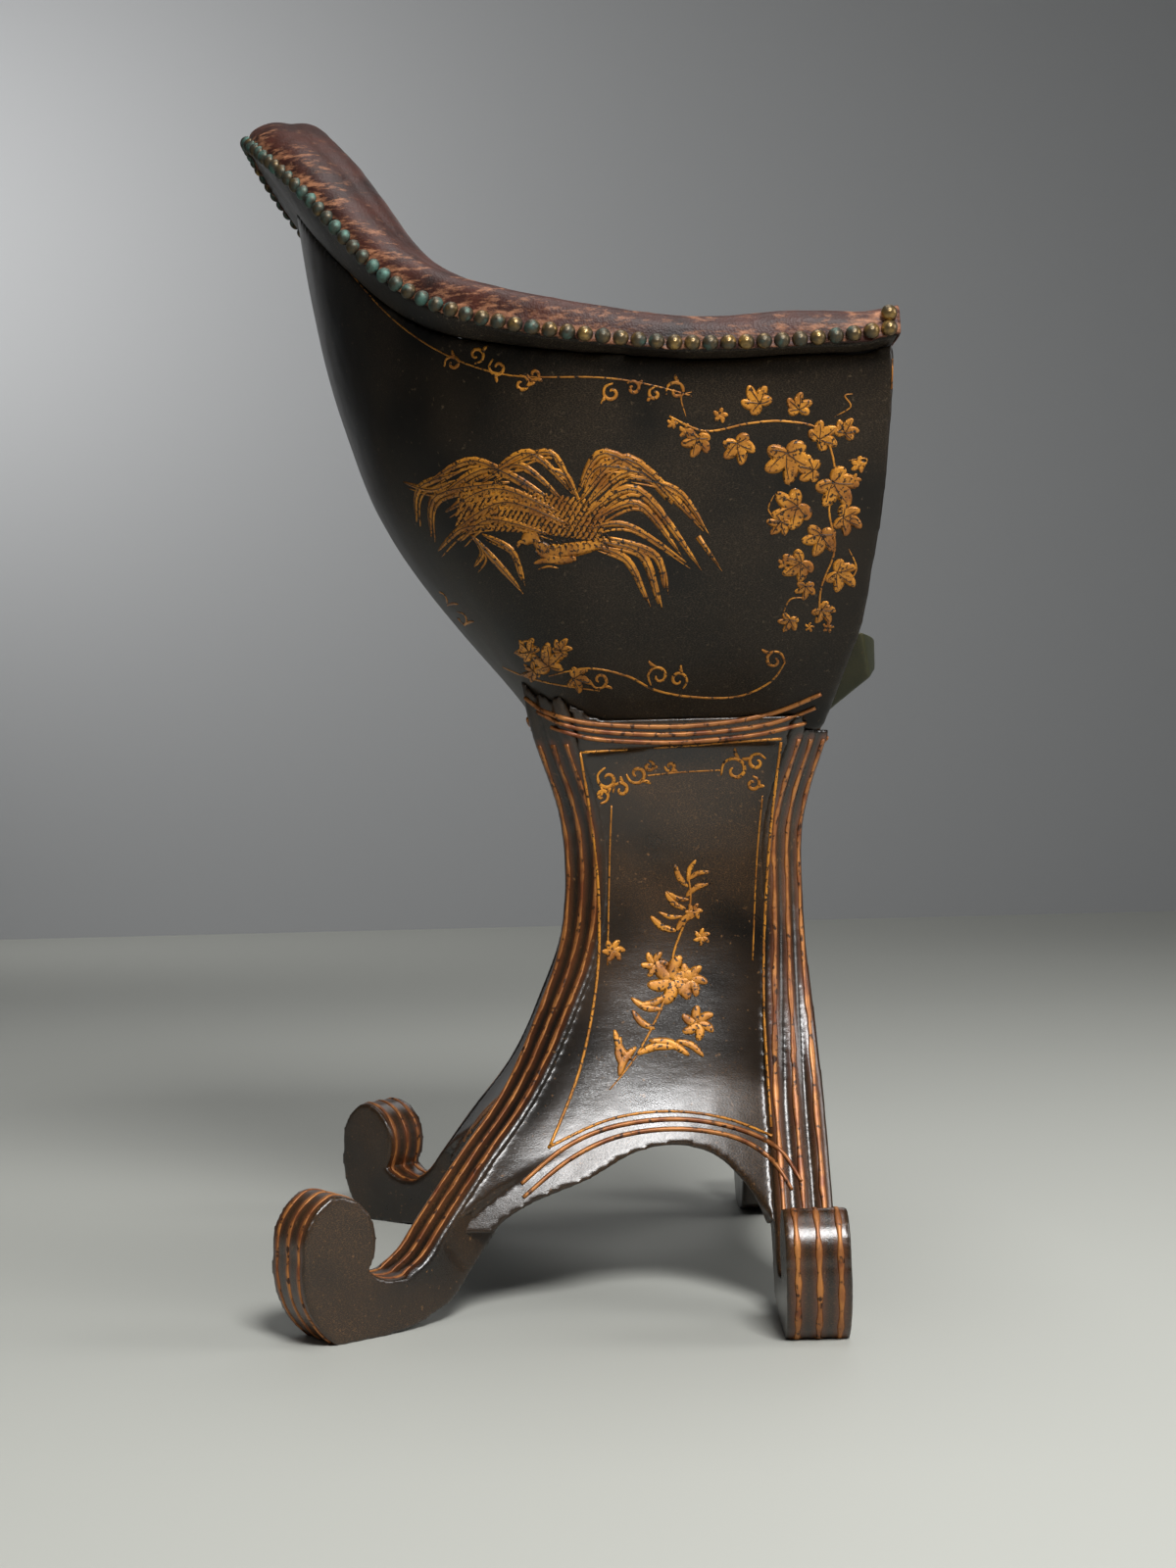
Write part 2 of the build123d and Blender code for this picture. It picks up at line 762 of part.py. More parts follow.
def leg_body(found):
    """The leg from top to root: three reeds on its face, square behind."""
    sections = []
    half, reed = leg_width / 2, leg_width / 3
    for index, station in enumerate(found):
        before = found[max(index - 1, 0)].place
        after = found[min(index + 1, len(found) - 1)].place
        face = station.to_side.cross(after - before).normalized()
        if face.dot(station.outward) < 0:
            face = face * -1
        across = Plane(station.place, x_dir=station.to_side, z_dir=station.to_side.cross(face))
        with BuildSketch(across) as section:
            with BuildLine():
                for start in (-half, -half + reed, -half + 2 * reed):
                    ThreePointArc(
                        (start, 0), (start + reed / 2, reed_height), (start + reed, 0)
                    )
                Polyline((half, 0), (half, -leg_depth), (-half, -leg_depth), (-half, 0))
            make_face()
        sections.append(section.sketch)
    with BuildPart() as body:
        loft(sections)
    return body.part


def in_leg_plane(place, sign, spread_angle, reach):
    """A place on a leg as its outward distance from the foot's contact, and its height."""
    turn = radians(spread_angle)
    out = sign * (place.X - waist_centre_x) - waist_post_reach
    side = -place.Y - waist_post_side
    return (out * cos(turn) + side * sin(turn) - reach, place.Z)


def scroll_foot(sign, spread_angle, reach, foot_height, found):
    """The scroll at the end of a leg, let into the leg's lower end."""
    turn = radians(spread_angle)
    contact = Vector(
        waist_centre_x + sign * (waist_post_reach + reach * cos(turn)),
        -waist_post_side - reach * sin(turn), 0,
    )
    outward = Vector(sign * cos(turn), -sin(turn), 0)
    upright = Plane(contact, x_dir=outward, z_dir=outward.cross(Vector(0, 0, 1)))
    points = {
        name: (share[0] * foot_height, share[1] * foot_height)
        for name, share in foot_outline_shares.items()
    }
    end = in_leg_plane(found[-1].place, sign, spread_angle, reach)
    above = in_leg_plane(found[-2].place, sign, spread_angle, reach)
    run = Vector(end[0] - above[0], end[1] - above[1], 0).normalized()
    inner_end = (end[0] + run.Y * leg_depth, end[1] - run.X * leg_depth)
    sunk = leg_depth - panel_recess
    inner_above = (above[0] + run.Y * sunk, above[1] - run.X * sunk)
    outer_above = (above[0] + run.Y * panel_recess, above[1] - run.X * panel_recess)
    with BuildSketch(upright) as outline:
        with BuildLine():
            ThreePointArc(points["root_top"], points["dip"], points["crease"])
            ThreePointArc(points["crease"], points["eye_side"], points["top"])
            ThreePointArc(points["top"], points["shoulder"], points["front"])
            ThreePointArc(points["front"], points["toe"], points["sole_front"])
            Line(points["sole_front"], points["sole_back"])
            ThreePointArc(points["sole_back"], points["instep"], inner_end)
            Polyline(inner_end, inner_above, outer_above, points["root_top"])
        make_face()
    with BuildPart() as foot:
        extrude(outline.sketch, amount=foot_width / 2, both=True)
    return foot.part


def leg(sign, spread_angle, reach, foot_height):
    """A right-hand leg with its foot, cut to fit under the tub."""
    found = leg_stations(sign, spread_angle, reach, foot_height)
    with BuildPart() as whole:
        add(leg_body(found))
        add(scroll_foot(sign, spread_angle, reach, foot_height, found))
        add(tub_outer, mode=Mode.SUBTRACT)
    return whole


leg_kinds = {
    "leg_rear": (-1, rear_spread_angle, rear_reach, rear_foot_height),
    "leg_front": (1, front_spread_angle, front_reach, front_foot_height),
}
all_legs = []
for leg_name, leg_sizes in leg_kinds.items():
    right_leg = leg(*leg_sizes)
    finish(right_leg, f"{leg_name}_right")
    with BuildPart() as left_leg:
        mirror(right_leg.part, about=Plane.XZ)
    finish(left_leg, f"{leg_name}_left")
    all_legs += [right_leg.part, left_leg.part]
rear_stations = leg_stations(*leg_kinds["leg_rear"])
front_stations = leg_stations(*leg_kinds["leg_front"])


def corner_at(found, height, corner):
    """One corner line of a leg at a height, on straight lines between its stations."""
    for upper, lower in zip(found, found[1:]):
        if lower.height <= height <= upper.height:
            part = (height - lower.height) / (upper.height - lower.height)
            return corner(lower) + (corner(upper) - corner(lower)) * part
    return corner(found[-1])


def side_corners(height):
    """The corners of the right-hand side's opening at a height, rear leg first."""
    return (
        corner_at(rear_stations, height, LegStation.side_edge),
        corner_at(front_stations, height, LegStation.side_edge),
    )


def end_corners(found, height):
    """The corners of the front's or the back's opening at a height, right leg first."""
    right = corner_at(found, height, LegStation.end_edge)
    return right, Vector(right.X, -right.Y, right.Z)


def front_corners(height):
    """The corners of the front opening."""
    return end_corners(front_stations, height)


def back_corners(height):
    """The corners of the back opening."""
    return end_corners(rear_stations, height)


def web(corners, inward, tuck, recess, thickness):
    """A board that fills an opening between two legs, set back by a recess."""
    sections = []
    for share in panel_height_shares:
        height = panel_bottom + share * (leg_top_height - panel_bottom)
        start, end = corners(height)
        along = (end - start).normalized()
        start = start - along * tuck + inward * recess
        end = end + along * tuck + inward * recess
        with BuildSketch(Plane.XY.offset(height)) as section:
            with BuildLine():
                Polyline(
                    (start.X, start.Y), (end.X, end.Y),
                    (end.X + inward.X * thickness, end.Y + inward.Y * thickness),
                    (start.X + inward.X * thickness, start.Y + inward.Y * thickness),
                    close=True,
                )
            make_face()
        sections.append(section.sketch)
    with BuildPart() as board:
        loft(sections)
    return board.part


def arch_block(plane, middle, shares, arch_height):
    """Everything under an arch, through the whole pedestal."""
    half_waist = waist_post_side + leg_width / 2 * cos(radians(post_angle))
    points = [(middle + across * half_waist, up * arch_height) for across, up in shares]
    with BuildPart() as block:
        with BuildSketch(plane):
            with BuildLine():
                Spline(*points)
                Polyline(
                    points[-1], (points[-1][0], -cut_overrun),
                    (points[0][0], -cut_overrun), points[0],
                )
            make_face()
        extrude(amount=2 * tub_half_width, both=True)
    return block.part


def sag_block(plane, middle, sag):
    """Everything above the sagging underside of a top moulding."""
    first, last = (middle - moulding_half, sag[1]), (middle + moulding_half, sag[2])
    with BuildPart() as block:
        with BuildSketch(plane):
            with BuildLine():
                ThreePointArc(first, (middle, sag[0]), last)
                Polyline(
                    last, (last[0], leg_top_height), (first[0], leg_top_height), first,
                )
            make_face()
        extrude(amount=2 * tub_half_width, both=True)
    return block.part


def volume_of(solid):
    """A solid's volume, to keep a board and drop the splinters beside its legs."""
    return solid.volume


into_chair = {"right": Vector(0, 1, 0), "front": Vector(-1, 0, 0), "back": Vector(1, 0, 0)}
faces = {
    "right": (side_corners, panel_tuck, Plane.XZ, waist_centre_x),
    "front": (front_corners, front_panel_tuck, Plane.YZ, 0.0),
    "back": (back_corners, panel_tuck, Plane.YZ, 0.0),
}
arches = {
    "right": (side_arch_shares, side_arch_height),
    "front": (end_arch_shares, end_arch_height),
    "back": (end_arch_shares, end_arch_height),
}
sags = {"right": side_moulding_sag, "front": front_moulding_sag, "back": back_moulding_sag}
all_panels = []
for face_name, (corners, tuck, face_plane, middle) in faces.items():
    with BuildPart() as panel:
        add(web(corners, into_chair[face_name], tuck, panel_recess, panel_thickness))
        add(arch_block(face_plane, middle, *arches[face_name]), mode=Mode.SUBTRACT)
        for leg_part in all_legs:
            add(leg_part, mode=Mode.SUBTRACT)
        add(tub_outer, mode=Mode.SUBTRACT)
        add(max(panel.part.solids(), key=volume_of), mode=Mode.REPLACE)
    finish(panel, f"panel_{face_name}")
    all_panels.append(panel.part)
    with BuildPart() as moulding:
        add(web(corners, into_chair[face_name], 0, 0, panel_recess - fit))
        add(sag_block(face_plane, middle, sags[face_name]), mode=Mode.INTERSECT)
        for leg_part in all_legs:
            add(leg_part, mode=Mode.SUBTRACT)
        add(tub_outer, mode=Mode.SUBTRACT)
    finish(moulding, f"moulding_{face_name}")
    if face_name == "right":
        with BuildPart() as left_panel:
            mirror(panel.part, about=Plane.XZ)
        finish(left_panel, "panel_left")
        all_panels.append(left_panel.part)
        with BuildPart() as left_moulding:
            mirror(moulding.part, about=Plane.XZ)
        finish(left_moulding, "moulding_left")

# Deck under the tub: a board let in between the legs, screwed up into the tub's floor
deck_bottom = tub_base_height - deck_thickness
with BuildPart() as deck_board:
    with Locations((waist_centre_x, 0, deck_bottom)):
        Box(
            deck_size, deck_size, deck_thickness,
            align=(Align.CENTER, Align.CENTER, Align.MIN),
        )
        with GridLocations(screw_spacing, screw_spacing, 2, 2):
            Cylinder(
                screw_diameter / 2, deck_thickness,
                align=(Align.CENTER, Align.CENTER, Align.MIN), mode=Mode.SUBTRACT,
            )
            Cone(
                screw_head / 2, screw_diameter / 2, screw_head_height,
                align=(Align.CENTER, Align.CENTER, Align.MIN), mode=Mode.SUBTRACT,
            )
    for leg_part in all_legs:
        add(leg_part, mode=Mode.SUBTRACT)
finish(deck_board, "deck_board")

with BuildPart() as deck_screw:
    Cylinder(
        (screw_diameter - fit) / 2, screw_length,
        align=(Align.CENTER, Align.CENTER, Align.MIN),
    )
    Cone(
        (screw_head - fit) / 2, (screw_diameter - fit) / 2, screw_head_height,
        align=(Align.CENTER, Align.CENTER, Align.MIN),
    )
screw_places = [
    Location((waist_centre_x + dx * screw_spacing / 2, dy * screw_spacing / 2, deck_bottom))
    for dx in (-1, 1) for dy in (-1, 1)
]
deck_screws = Compound(children=[deck_screw.part.moved(place) for place in screw_places])
deck_screws.label = "deck_screws"
export_step(deck_screws, "parts/deck_screws.step")

# Glue blocks in the angle between the deck and each panel
block_places = {
    "right": (waist_centre_x, -block_reach, block_length, block_size),
    "left": (waist_centre_x, block_reach, block_length, block_size),
    "front": (waist_centre_x + block_reach, 0, block_size, block_length),
    "back": (waist_centre_x - block_reach, 0, block_size, block_length),
}
for block_name, (block_x, block_y, size_x, size_y) in block_places.items():
    with BuildPart() as glue_block:
        with Locations((block_x, block_y, deck_bottom)):
            Box(
                size_x, size_y, block_size,
                align=(Align.CENTER, Align.CENTER, Align.MAX),
            )
        for panel_part in all_panels:
            add(panel_part, mode=Mode.SUBTRACT)
    finish(glue_block, f"glue_block_{block_name}")

# Brass nails: one row along the rim's hem and a pair stacked at each arm's front
nail_ball = ((nail_head / 2)**2 + nail_dome**2) / (2 * nail_dome)
with BuildPart() as nail:
    with Locations((0, 0, nail_dome - nail_ball)):
        Sphere(nail_ball)
    Cylinder(
        nail_head, nail_head,
        align=(Align.CENTER, Align.CENTER, Align.MIN), mode=Mode.INTERSECT,
    )
    Cylinder(
        nail_shank / 2, nail_length,
        align=(Align.CENTER, Align.CENTER, Align.MAX),
    )

hem_points = []
for station in stations:
    reach = station.lip + fit + leather - nail_rise_share * station.tilt
    hem_points.append(Vector(
        station.place[0] + station.normal[0] * reach,
        station.place[1] + station.normal[1] * reach,
        station.height + station.tip + nail_rise_share * station.edge,
    ))
with BuildLine() as nail_line:
    Spline(*hem_points)
nail_run = nail_line.edges()[0]
end_gap = nail_pitch / 2
nail_count = round((nail_run.length - 2 * end_gap) / nail_pitch)
upward = Vector(0, 0, 1)
nail_places = []
for index in range(nail_count + 1):
    share = (end_gap + index * (nail_run.length - 2 * end_gap) / nail_count) / nail_run.length
    along = (nail_run % share).normalized()
    level_out = upward.cross(along).normalized()
    slope = upward * arm_edge - level_out * edge_tilt / 2
    nail_places.append(Plane(nail_run @ share, z_dir=slope.cross(along)))
for end_place in (nail_places[0], nail_places[-1]):
    nail_places.append(Plane(end_place.origin + upward * nail_stack, z_dir=end_place.z_dir))
rim_nails = Compound(children=[nail.part.moved(place.location) for place in nail_places])
rim_nails.label = "rim_nails"
export_step(rim_nails, "parts/rim_nails.step")
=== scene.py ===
"""Looks of an old lacquered gondola armchair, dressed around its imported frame.

Everything is in metres: +X is the way the sitter faces, +Y their left, +Z up.
The ornament is placed by pixels of the photograph, which rays carry onto the wood.
"""
from math import cos, pi, radians, sin

import bmesh
import bpy
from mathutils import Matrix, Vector
from mathutils.bvhtree import BVHTree
from mathutils.kdtree import KDTree


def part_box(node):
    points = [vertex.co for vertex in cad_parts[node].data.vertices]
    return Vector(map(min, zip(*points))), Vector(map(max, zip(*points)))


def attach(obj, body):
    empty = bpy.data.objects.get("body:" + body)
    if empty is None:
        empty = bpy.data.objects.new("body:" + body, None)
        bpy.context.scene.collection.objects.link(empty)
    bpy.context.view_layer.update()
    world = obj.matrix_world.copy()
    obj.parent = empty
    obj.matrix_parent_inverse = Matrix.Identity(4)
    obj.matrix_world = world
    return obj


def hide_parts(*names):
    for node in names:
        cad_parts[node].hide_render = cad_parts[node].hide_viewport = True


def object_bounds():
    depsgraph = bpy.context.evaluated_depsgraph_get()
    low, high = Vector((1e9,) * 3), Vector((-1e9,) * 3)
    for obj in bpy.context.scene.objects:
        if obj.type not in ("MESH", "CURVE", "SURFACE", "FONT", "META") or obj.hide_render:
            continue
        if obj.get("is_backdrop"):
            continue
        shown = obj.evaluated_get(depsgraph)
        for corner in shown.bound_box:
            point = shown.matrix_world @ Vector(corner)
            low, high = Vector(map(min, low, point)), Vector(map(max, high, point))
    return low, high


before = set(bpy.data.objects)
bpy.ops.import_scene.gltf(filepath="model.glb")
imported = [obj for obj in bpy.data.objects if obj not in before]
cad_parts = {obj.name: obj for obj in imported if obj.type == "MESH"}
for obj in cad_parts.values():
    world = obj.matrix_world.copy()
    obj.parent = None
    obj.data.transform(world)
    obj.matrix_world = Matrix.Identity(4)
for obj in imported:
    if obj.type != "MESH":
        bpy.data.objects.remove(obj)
cad_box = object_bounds()
bpy.ops.object.select_all(action="DESELECT")

mm = 0.001

# The photograph's camera, fitted to the chair's measured points
photo_middle = (600, 800)
photo_height = 1600
focal_pixels = 2219.0
film_height_mm = 36.0
camera_place = Vector((0.015, -1.755, 0.3868))
camera_roll = radians(1.4)


def colour(code):
    """An sRGB hex colour as the linear colour that a shader takes."""
    parts = [int(code[i:i + 2], 16) / 255 for i in (1, 3, 5)]
    linear = [c / 12.92 if c <= 0.04045 else ((c + 0.055) / 1.055) ** 2.4 for c in parts]
    return (*linear, 1.0)


def add_node(tree, kind, settings=None, links=None):
    """Add a shader node, set its values and link its inputs."""
    made = tree.nodes.new(kind)
    for name, value in (settings or {}).items():
        if name == "stops":
            ramp = made.color_ramp
            ramp.elements[0].position, ramp.elements[0].color = value[0]
            ramp.elements[1].position, ramp.elements[1].color = value[-1]
            for place, shade in value[1:-1]:
                ramp.elements.new(place).color = shade
        elif isinstance(name, str) and hasattr(made, name):
            setattr(made, name, value)
        else:
            made.inputs[name].default_value = value
    for name, source in (links or {}).items():
        tree.links.new(source, made.inputs[name])
    return made


def new_material(name, settings):
    """An empty material with its shader, its node tree and object coordinates."""
    material = bpy.data.materials.new(name)
    material.use_nodes = True
    tree = material.node_tree
    shader = tree.nodes["Principled BSDF"]
    for key, value in settings.items():
        shader.inputs[key].default_value = value
    coords = add_node(tree, "ShaderNodeTexCoord").outputs["Object"]
    return material, tree, shader, coords


white = (1, 1, 1, 1)
black = (0, 0, 0, 1)


def noise(tree, vector, scale, detail, roughness=0.5):
    """Fractal noise over a vector, from 0 to 1."""
    made = add_node(tree, "ShaderNodeTexNoise",
                    {"Scale": scale, "Detail": detail, "Roughness": roughness},
                    {"Vector": vector})
    return made.outputs["Fac"]


def stretched(tree, coords, scale):
    """Coordinates scaled apart along each axis, for a pattern that is longer one way."""
    made = add_node(tree, "ShaderNodeMapping", {"Scale": scale}, {"Vector": coords})
    return made.outputs["Vector"]


def attribute(tree, name):
    """A value stored at each point of the mesh; it is 0 where the mesh has none."""
    return add_node(tree, "ShaderNodeAttribute", {"attribute_name": name}).outputs["Fac"]


def ramp(tree, value, *stops):
    """Colours along a value; each stop is a place and a colour."""
    made = add_node(tree, "ShaderNodeValToRGB", {"stops": stops}, {"Fac": value})
    return made.outputs["Color"]


def overlaid(tree, amount, under, code):
    """A hex colour laid over another colour, by an amount from 0 to 1."""
    made = add_node(tree, "ShaderNodeMix", {"data_type": "RGBA", 7: colour(code)},
                    {0: amount, 6: under})
    return made.outputs[2]


def blended(tree, share, first, second):
    """Two heights blended; the share is the second one's."""
    made = add_node(tree, "ShaderNodeMix", {"data_type": "FLOAT", 0: share},
                    {2: first, 3: second})
    return made.outputs[0]


def vary_roughness(tree, shader, value, smooth, rough, smooth_at=0.0, rough_at=1.0):
    """Make the surface rougher as a value rises."""
    gloss = add_node(tree, "ShaderNodeMapRange", {
        "From Min": smooth_at, "From Max": rough_at, "To Min": smooth, "To Max": rough},
        {"Value": value})
    tree.links.new(gloss.outputs["Result"], shader.inputs["Roughness"])


def add_bump(tree, shader, height, strength, depth):
    """Shade the surface as if it rose and fell by a depth."""
    bump = add_node(tree, "ShaderNodeBump", {"Strength": strength, "Distance": depth},
                    {"Height": height})
    tree.links.new(bump.outputs["Normal"], shader.inputs["Normal"])


def japanned_lacquer(name, ground, bloom, worn, crack_depth, shine, roughness):
    """Black-brown varnish over gesso, polished by hand: a satin skin with age cracks."""
    material, tree, shader, coords = new_material(
        name, {"Coat Weight": 0.1, "Coat Roughness": 0.16, "Specular IOR Level": shine})
    blotch = noise(tree, coords, 14, 6)
    tone = ramp(tree, blotch, (0.35, colour(ground)), (0.68, colour(bloom)))
    # The reeds' crests are painted red-brown, more in some places than in others: partly rubbed
    # ground, partly a painted highlight along each crest
    crest_wear_and_highlight = add_node(tree, "ShaderNodeMath", {"operation": "MULTIPLY"},
                          {0: attribute(tree, "crest"), 1: blotch})
    reddened = overlaid(tree, crest_wear_and_highlight.outputs["Value"], tone, "#8a4a26")
    # Craquelure lies across the wood, in cells about 12 mm long and 4 mm high
    stretch = stretched(tree, coords, (80, 80, 240))
    cells = add_node(tree, "ShaderNodeTexVoronoi", {"feature": "DISTANCE_TO_EDGE"},
                     {"Vector": stretch}).outputs["Distance"]
    crack = ramp(tree, cells, (0.0, white), (0.07, black))
    where = ramp(tree, noise(tree, coords, 7, 2), (0.4, black), (0.56, white))
    cracked = add_node(tree, "ShaderNodeMath", {"operation": "MULTIPLY"}, {0: crack, 1: where})
    faint = add_node(tree, "ShaderNodeMath", {"operation": "MULTIPLY", 1: 0.8},
                     {0: cracked.outputs["Value"]})
    with_cracks = overlaid(tree, faint.outputs["Value"], reddened, worn)
    # Small chips and rubs of 2 to 5 mm show the brown ground
    rub = ramp(tree, noise(tree, coords, 260, 4), (0.66, black), (0.74, white))
    rubbed = overlaid(tree, rub, with_cracks, worn)
    tree.links.new(rubbed, shader.inputs["Base Color"])
    vary_roughness(tree, shader, blotch, roughness, roughness + 0.2)
    add_bump(tree, shader, blended(tree, 0.35, noise(tree, stretch, 0.8, 3), cells),
             crack_depth, 0.4 * mm)
    return material


def gold_paint(name, bright, dull, bare, metallic, loss_scale=420, loss_from=0.54):
    """Gold powder in size, brushed on: warm, grainy and rubbed through in spots."""
    material, tree, shader, coords = new_material(name, {"Metallic": metallic, "Roughness": 0.42})
    tone = ramp(tree, noise(tree, coords, 60, 5), (0.35, colour(dull)), (0.62, colour(bright)))
    loss = noise(tree, coords, loss_scale, 6)
    gone = ramp(tree, loss, (loss_from, black), (loss_from + 0.08, white))
    tree.links.new(overlaid(tree, gone, tone, bare), shader.inputs["Base Color"])
    add_bump(tree, shader, loss, 0.4, 0.2 * mm)
    return material


def old_hide(name, deep, warm, scuff, scuff_from):
    """Vegetable-tanned hide, dyed red-brown: a fine grain, creases and pale scuffs."""
    material, tree, shader, coords = new_material(name, {"Specular IOR Level": 0.28})
    tone = ramp(tree, noise(tree, coords, 22, 8, 0.65), (0.34, colour(deep)), (0.66, colour(warm)))
    # Scuffs run along the rim in streaks about 15 mm long
    rubs = noise(tree, stretched(tree, coords, (60, 60, 190)), 1.0, 9, 0.7)
    # The hide is rubbed bare most where it is pulled over the hem, beside the nails
    pulled = add_node(tree, "ShaderNodeMath", {"operation": "MULTIPLY_ADD", 1: 0.13},
                      {0: attribute(tree, "near_nails"), 2: rubs})
    bare = ramp(tree, pulled.outputs["Value"], (scuff_from, black), (scuff_from + 0.2, white))
    tree.links.new(overlaid(tree, bare, tone, scuff), shader.inputs["Base Color"])
    vary_roughness(tree, shader, rubs, 0.38, 0.66)
    # Grain of about 1.5 mm, drawn a little coarse so that it shows
    grain = add_node(tree, "ShaderNodeTexVoronoi", {"Scale": 620}, {"Vector": coords})
    add_bump(tree, shader,
             blended(tree, 0.7, grain.outputs["Distance"], noise(tree, coords, 95, 7)),
             0.65, 0.8 * mm)
    return material


def tarnished_brass(name):
    """Cast brass nail heads: gold where hands rub them, green-blue tarnish elsewhere."""
    material, tree, shader, coords = new_material(name, {"Metallic": 0.7})
    apart = add_node(tree, "ShaderNodeSeparateXYZ", None, {"Vector": coords})
    # Tarnish grows from the arm's front to the back of the crest
    along = add_node(tree, "ShaderNodeMapRange", {
        "From Min": 0.22, "From Max": -0.2, "To Min": -0.08, "To Max": 0.05},
        {"Value": apart.outputs["X"]})
    amount = add_node(tree, "ShaderNodeMath", {"operation": "ADD"},
                      {0: noise(tree, coords, 75, 6, 0.6), 1: along.outputs["Result"]})
    tarnish = amount.outputs["Value"]
    tone = ramp(tree, tarnish, (0.3, colour("#9a7c48")), (0.42, colour("#5f4f36")),
                (0.53, colour("#45433a")), (0.7, colour("#55786e")))
    tree.links.new(tone, shader.inputs["Base Color"])
    vary_roughness(tree, shader, tarnish, 0.3, 0.62, smooth_at=0.35, rough_at=0.65)
    add_bump(tree, shader, noise(tree, coords, 700, 4), 0.35, 0.3 * mm)
    return material


def plain_wood(name, light, dark):
    """Planed beech left bare inside the chair, browned with age, grain along X."""
    material, tree, shader, coords = new_material(name, {"Roughness": 0.7})
    grain = noise(tree, stretched(tree, coords, (12, 160, 160)), 1.0, 6)
    tone = ramp(tree, grain, (0.35, colour(dark)), (0.65, colour(light)))
    tree.links.new(tone, shader.inputs["Base Color"])
    add_bump(tree, shader, grain, 0.3, 0.3 * mm)
    return material


def jute_webbing(name):
    """Woven jute bands: threads over and under."""
    material, tree, shader, coords = new_material(name, {"Roughness": 0.9})
    weave = add_node(tree, "ShaderNodeTexWave", {"Scale": 80, "Distortion": 0.6},
                     {"Vector": coords})
    tone = ramp(tree, weave.outputs["Fac"], (0.2, colour("#6b5635")), (0.8, colour("#a08a5f")))
    tree.links.new(tone, shader.inputs["Base Color"])
    return material


def screw_steel(name):
    """Drawn steel, dulled: soft reflections and brown specks."""
    material, tree, shader, coords = new_material(name, {"Metallic": 1.0, "Roughness": 0.45})
    tone = ramp(tree, noise(tree, coords, 500, 4),
                (0.5, colour("#77736d")), (0.7, colour("#5a4030")))
    tree.links.new(tone, shader.inputs["Base Color"])
    return material


tub_lacquer = japanned_lacquer("japanned_lacquer", "#0e0b07", "#1f170e", "#4d4030", 0.35, 0.22, 0.3)
post_lacquer = japanned_lacquer("carved_lacquer", "#120d07", "#2b1d0f", "#6a4c2e", 0.6, 0.6, 0.19)
rim_lacquer = japanned_lacquer("rim_lacquer", "#0b0806", "#19120c", "#5f5446", 0.6, 0.12, 0.45)
ornament_gold = gold_paint("ornament_gold", "#d08a2c", "#93591d", "#2a1c10", 0.25)
# This copper-gold, on the ridges and the reeds' crests, is partly gilding and partly a painted
# highlight along the crests
ridge_gilt_and_highlight = gold_paint("ridge_copper_gold_and_highlight", "#b5763c", "#7a4322", "#3c2212", 0.3, 190, 0.57)
ink_brown = gold_paint("ink_brown", "#3a2210", "#22140a", "#120c07", 0.0)
rim_hide = old_hide("rim_hide", "#1a0a07", "#421e13", "#a87352", 0.6)
seat_hide = old_hide("seat_hide", "#1c0a07", "#471c14", "#7a4434", 0.69)
nail_brass = tarnished_brass("tarnished_brass")
apron_paint = japanned_lacquer("olive_paint", "#23260f", "#3b3a1a", "#6a4a2a", 0.5, 0.3, 0.35)
inner_beech = plain_wood("bare_beech", "#8a6844", "#5c3f26")
jute = jute_webbing("jute_webbing")
dull_steel = screw_steel("dull_steel")


def apply_all(piece):
    """Apply every modifier of a piece."""
    bpy.context.view_layer.objects.active = piece
    for modifier in list(piece.modifiers):
        bpy.ops.object.modifier_apply(modifier=modifier.name)


def as_piece(name, sheet):
    """A new piece from a bmesh, which is freed."""
    mesh = bpy.data.meshes.new(name)
    sheet.to_mesh(mesh)
    sheet.free()
    piece = bpy.data.objects.new(name, mesh)
    bpy.context.collection.objects.link(piece)
    return piece


weld_distance = 0.01 * mm
cut_tolerance = 0.1 * mm
# The lowest and highest points of the skins over the panels
skin_foot, skin_top = 0.062, 0.424


def joined_copy(name, nodes, sunk=None, skin=None):
    """One merged copy of several CAD solids, with a board sunk and a skin laid over it."""
    sheet = bmesh.new()
    for node_name in nodes:
        known = len(sheet.verts)
        sheet.from_mesh(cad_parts[node_name].data)
        if sunk and node_name in sunk:
            sheet.verts.ensure_lookup_table()
            for vert in sheet.verts[known:]:
                vert.co += sunk[node_name]
    bmesh.ops.remove_doubles(sheet, verts=sheet.verts, dist=weld_distance)
    if skin:
        points, faces = skin
        verts = [sheet.verts.new(point) for point in points]
        laid = [sheet.faces.new([verts[i] for i in face]) for face in faces]
        bmesh.ops.recalc_face_normals(sheet, faces=laid)
        # The board's lowest corners end in the legs' flanks
        everything = sheet.verts[:] + sheet.edges[:] + sheet.faces[:]
        bmesh.ops.bisect_plane(sheet, geom=everything, plane_co=(0, 0, skin_foot),
                               plane_no=(0, 0, 1), clear_inner=True)
        cut_height = skin_foot + cut_tolerance
        cut_edges = [edge for edge in sheet.edges
                     if edge.is_boundary and all(v.co.z < cut_height for v in edge.verts)]
        bmesh.ops.holes_fill(sheet, edges=cut_edges)
    return as_piece(name, sheet)


def settle(piece, material, nodes):
    """Give a piece its material, hang it from the root and hide the CAD solids that it stands for.
    """
    piece.data.materials.clear()
    piece.data.materials.append(material)
    for face in piece.data.polygons:
        face.use_smooth = True
    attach(piece, "root")
    if nodes:
        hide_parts(*nodes)
    return piece


def even_grid(piece, grid, rounds):
    """Modifiers that lay an even grid over a piece and ease its edges."""
    remesh = piece.modifiers.new("grid", "REMESH")
    remesh.mode = "VOXEL"
    remesh.voxel_size = grid
    ease = piece.modifiers.new("ease", "SMOOTH")
    ease.factor = 0.5
    ease.iterations = rounds


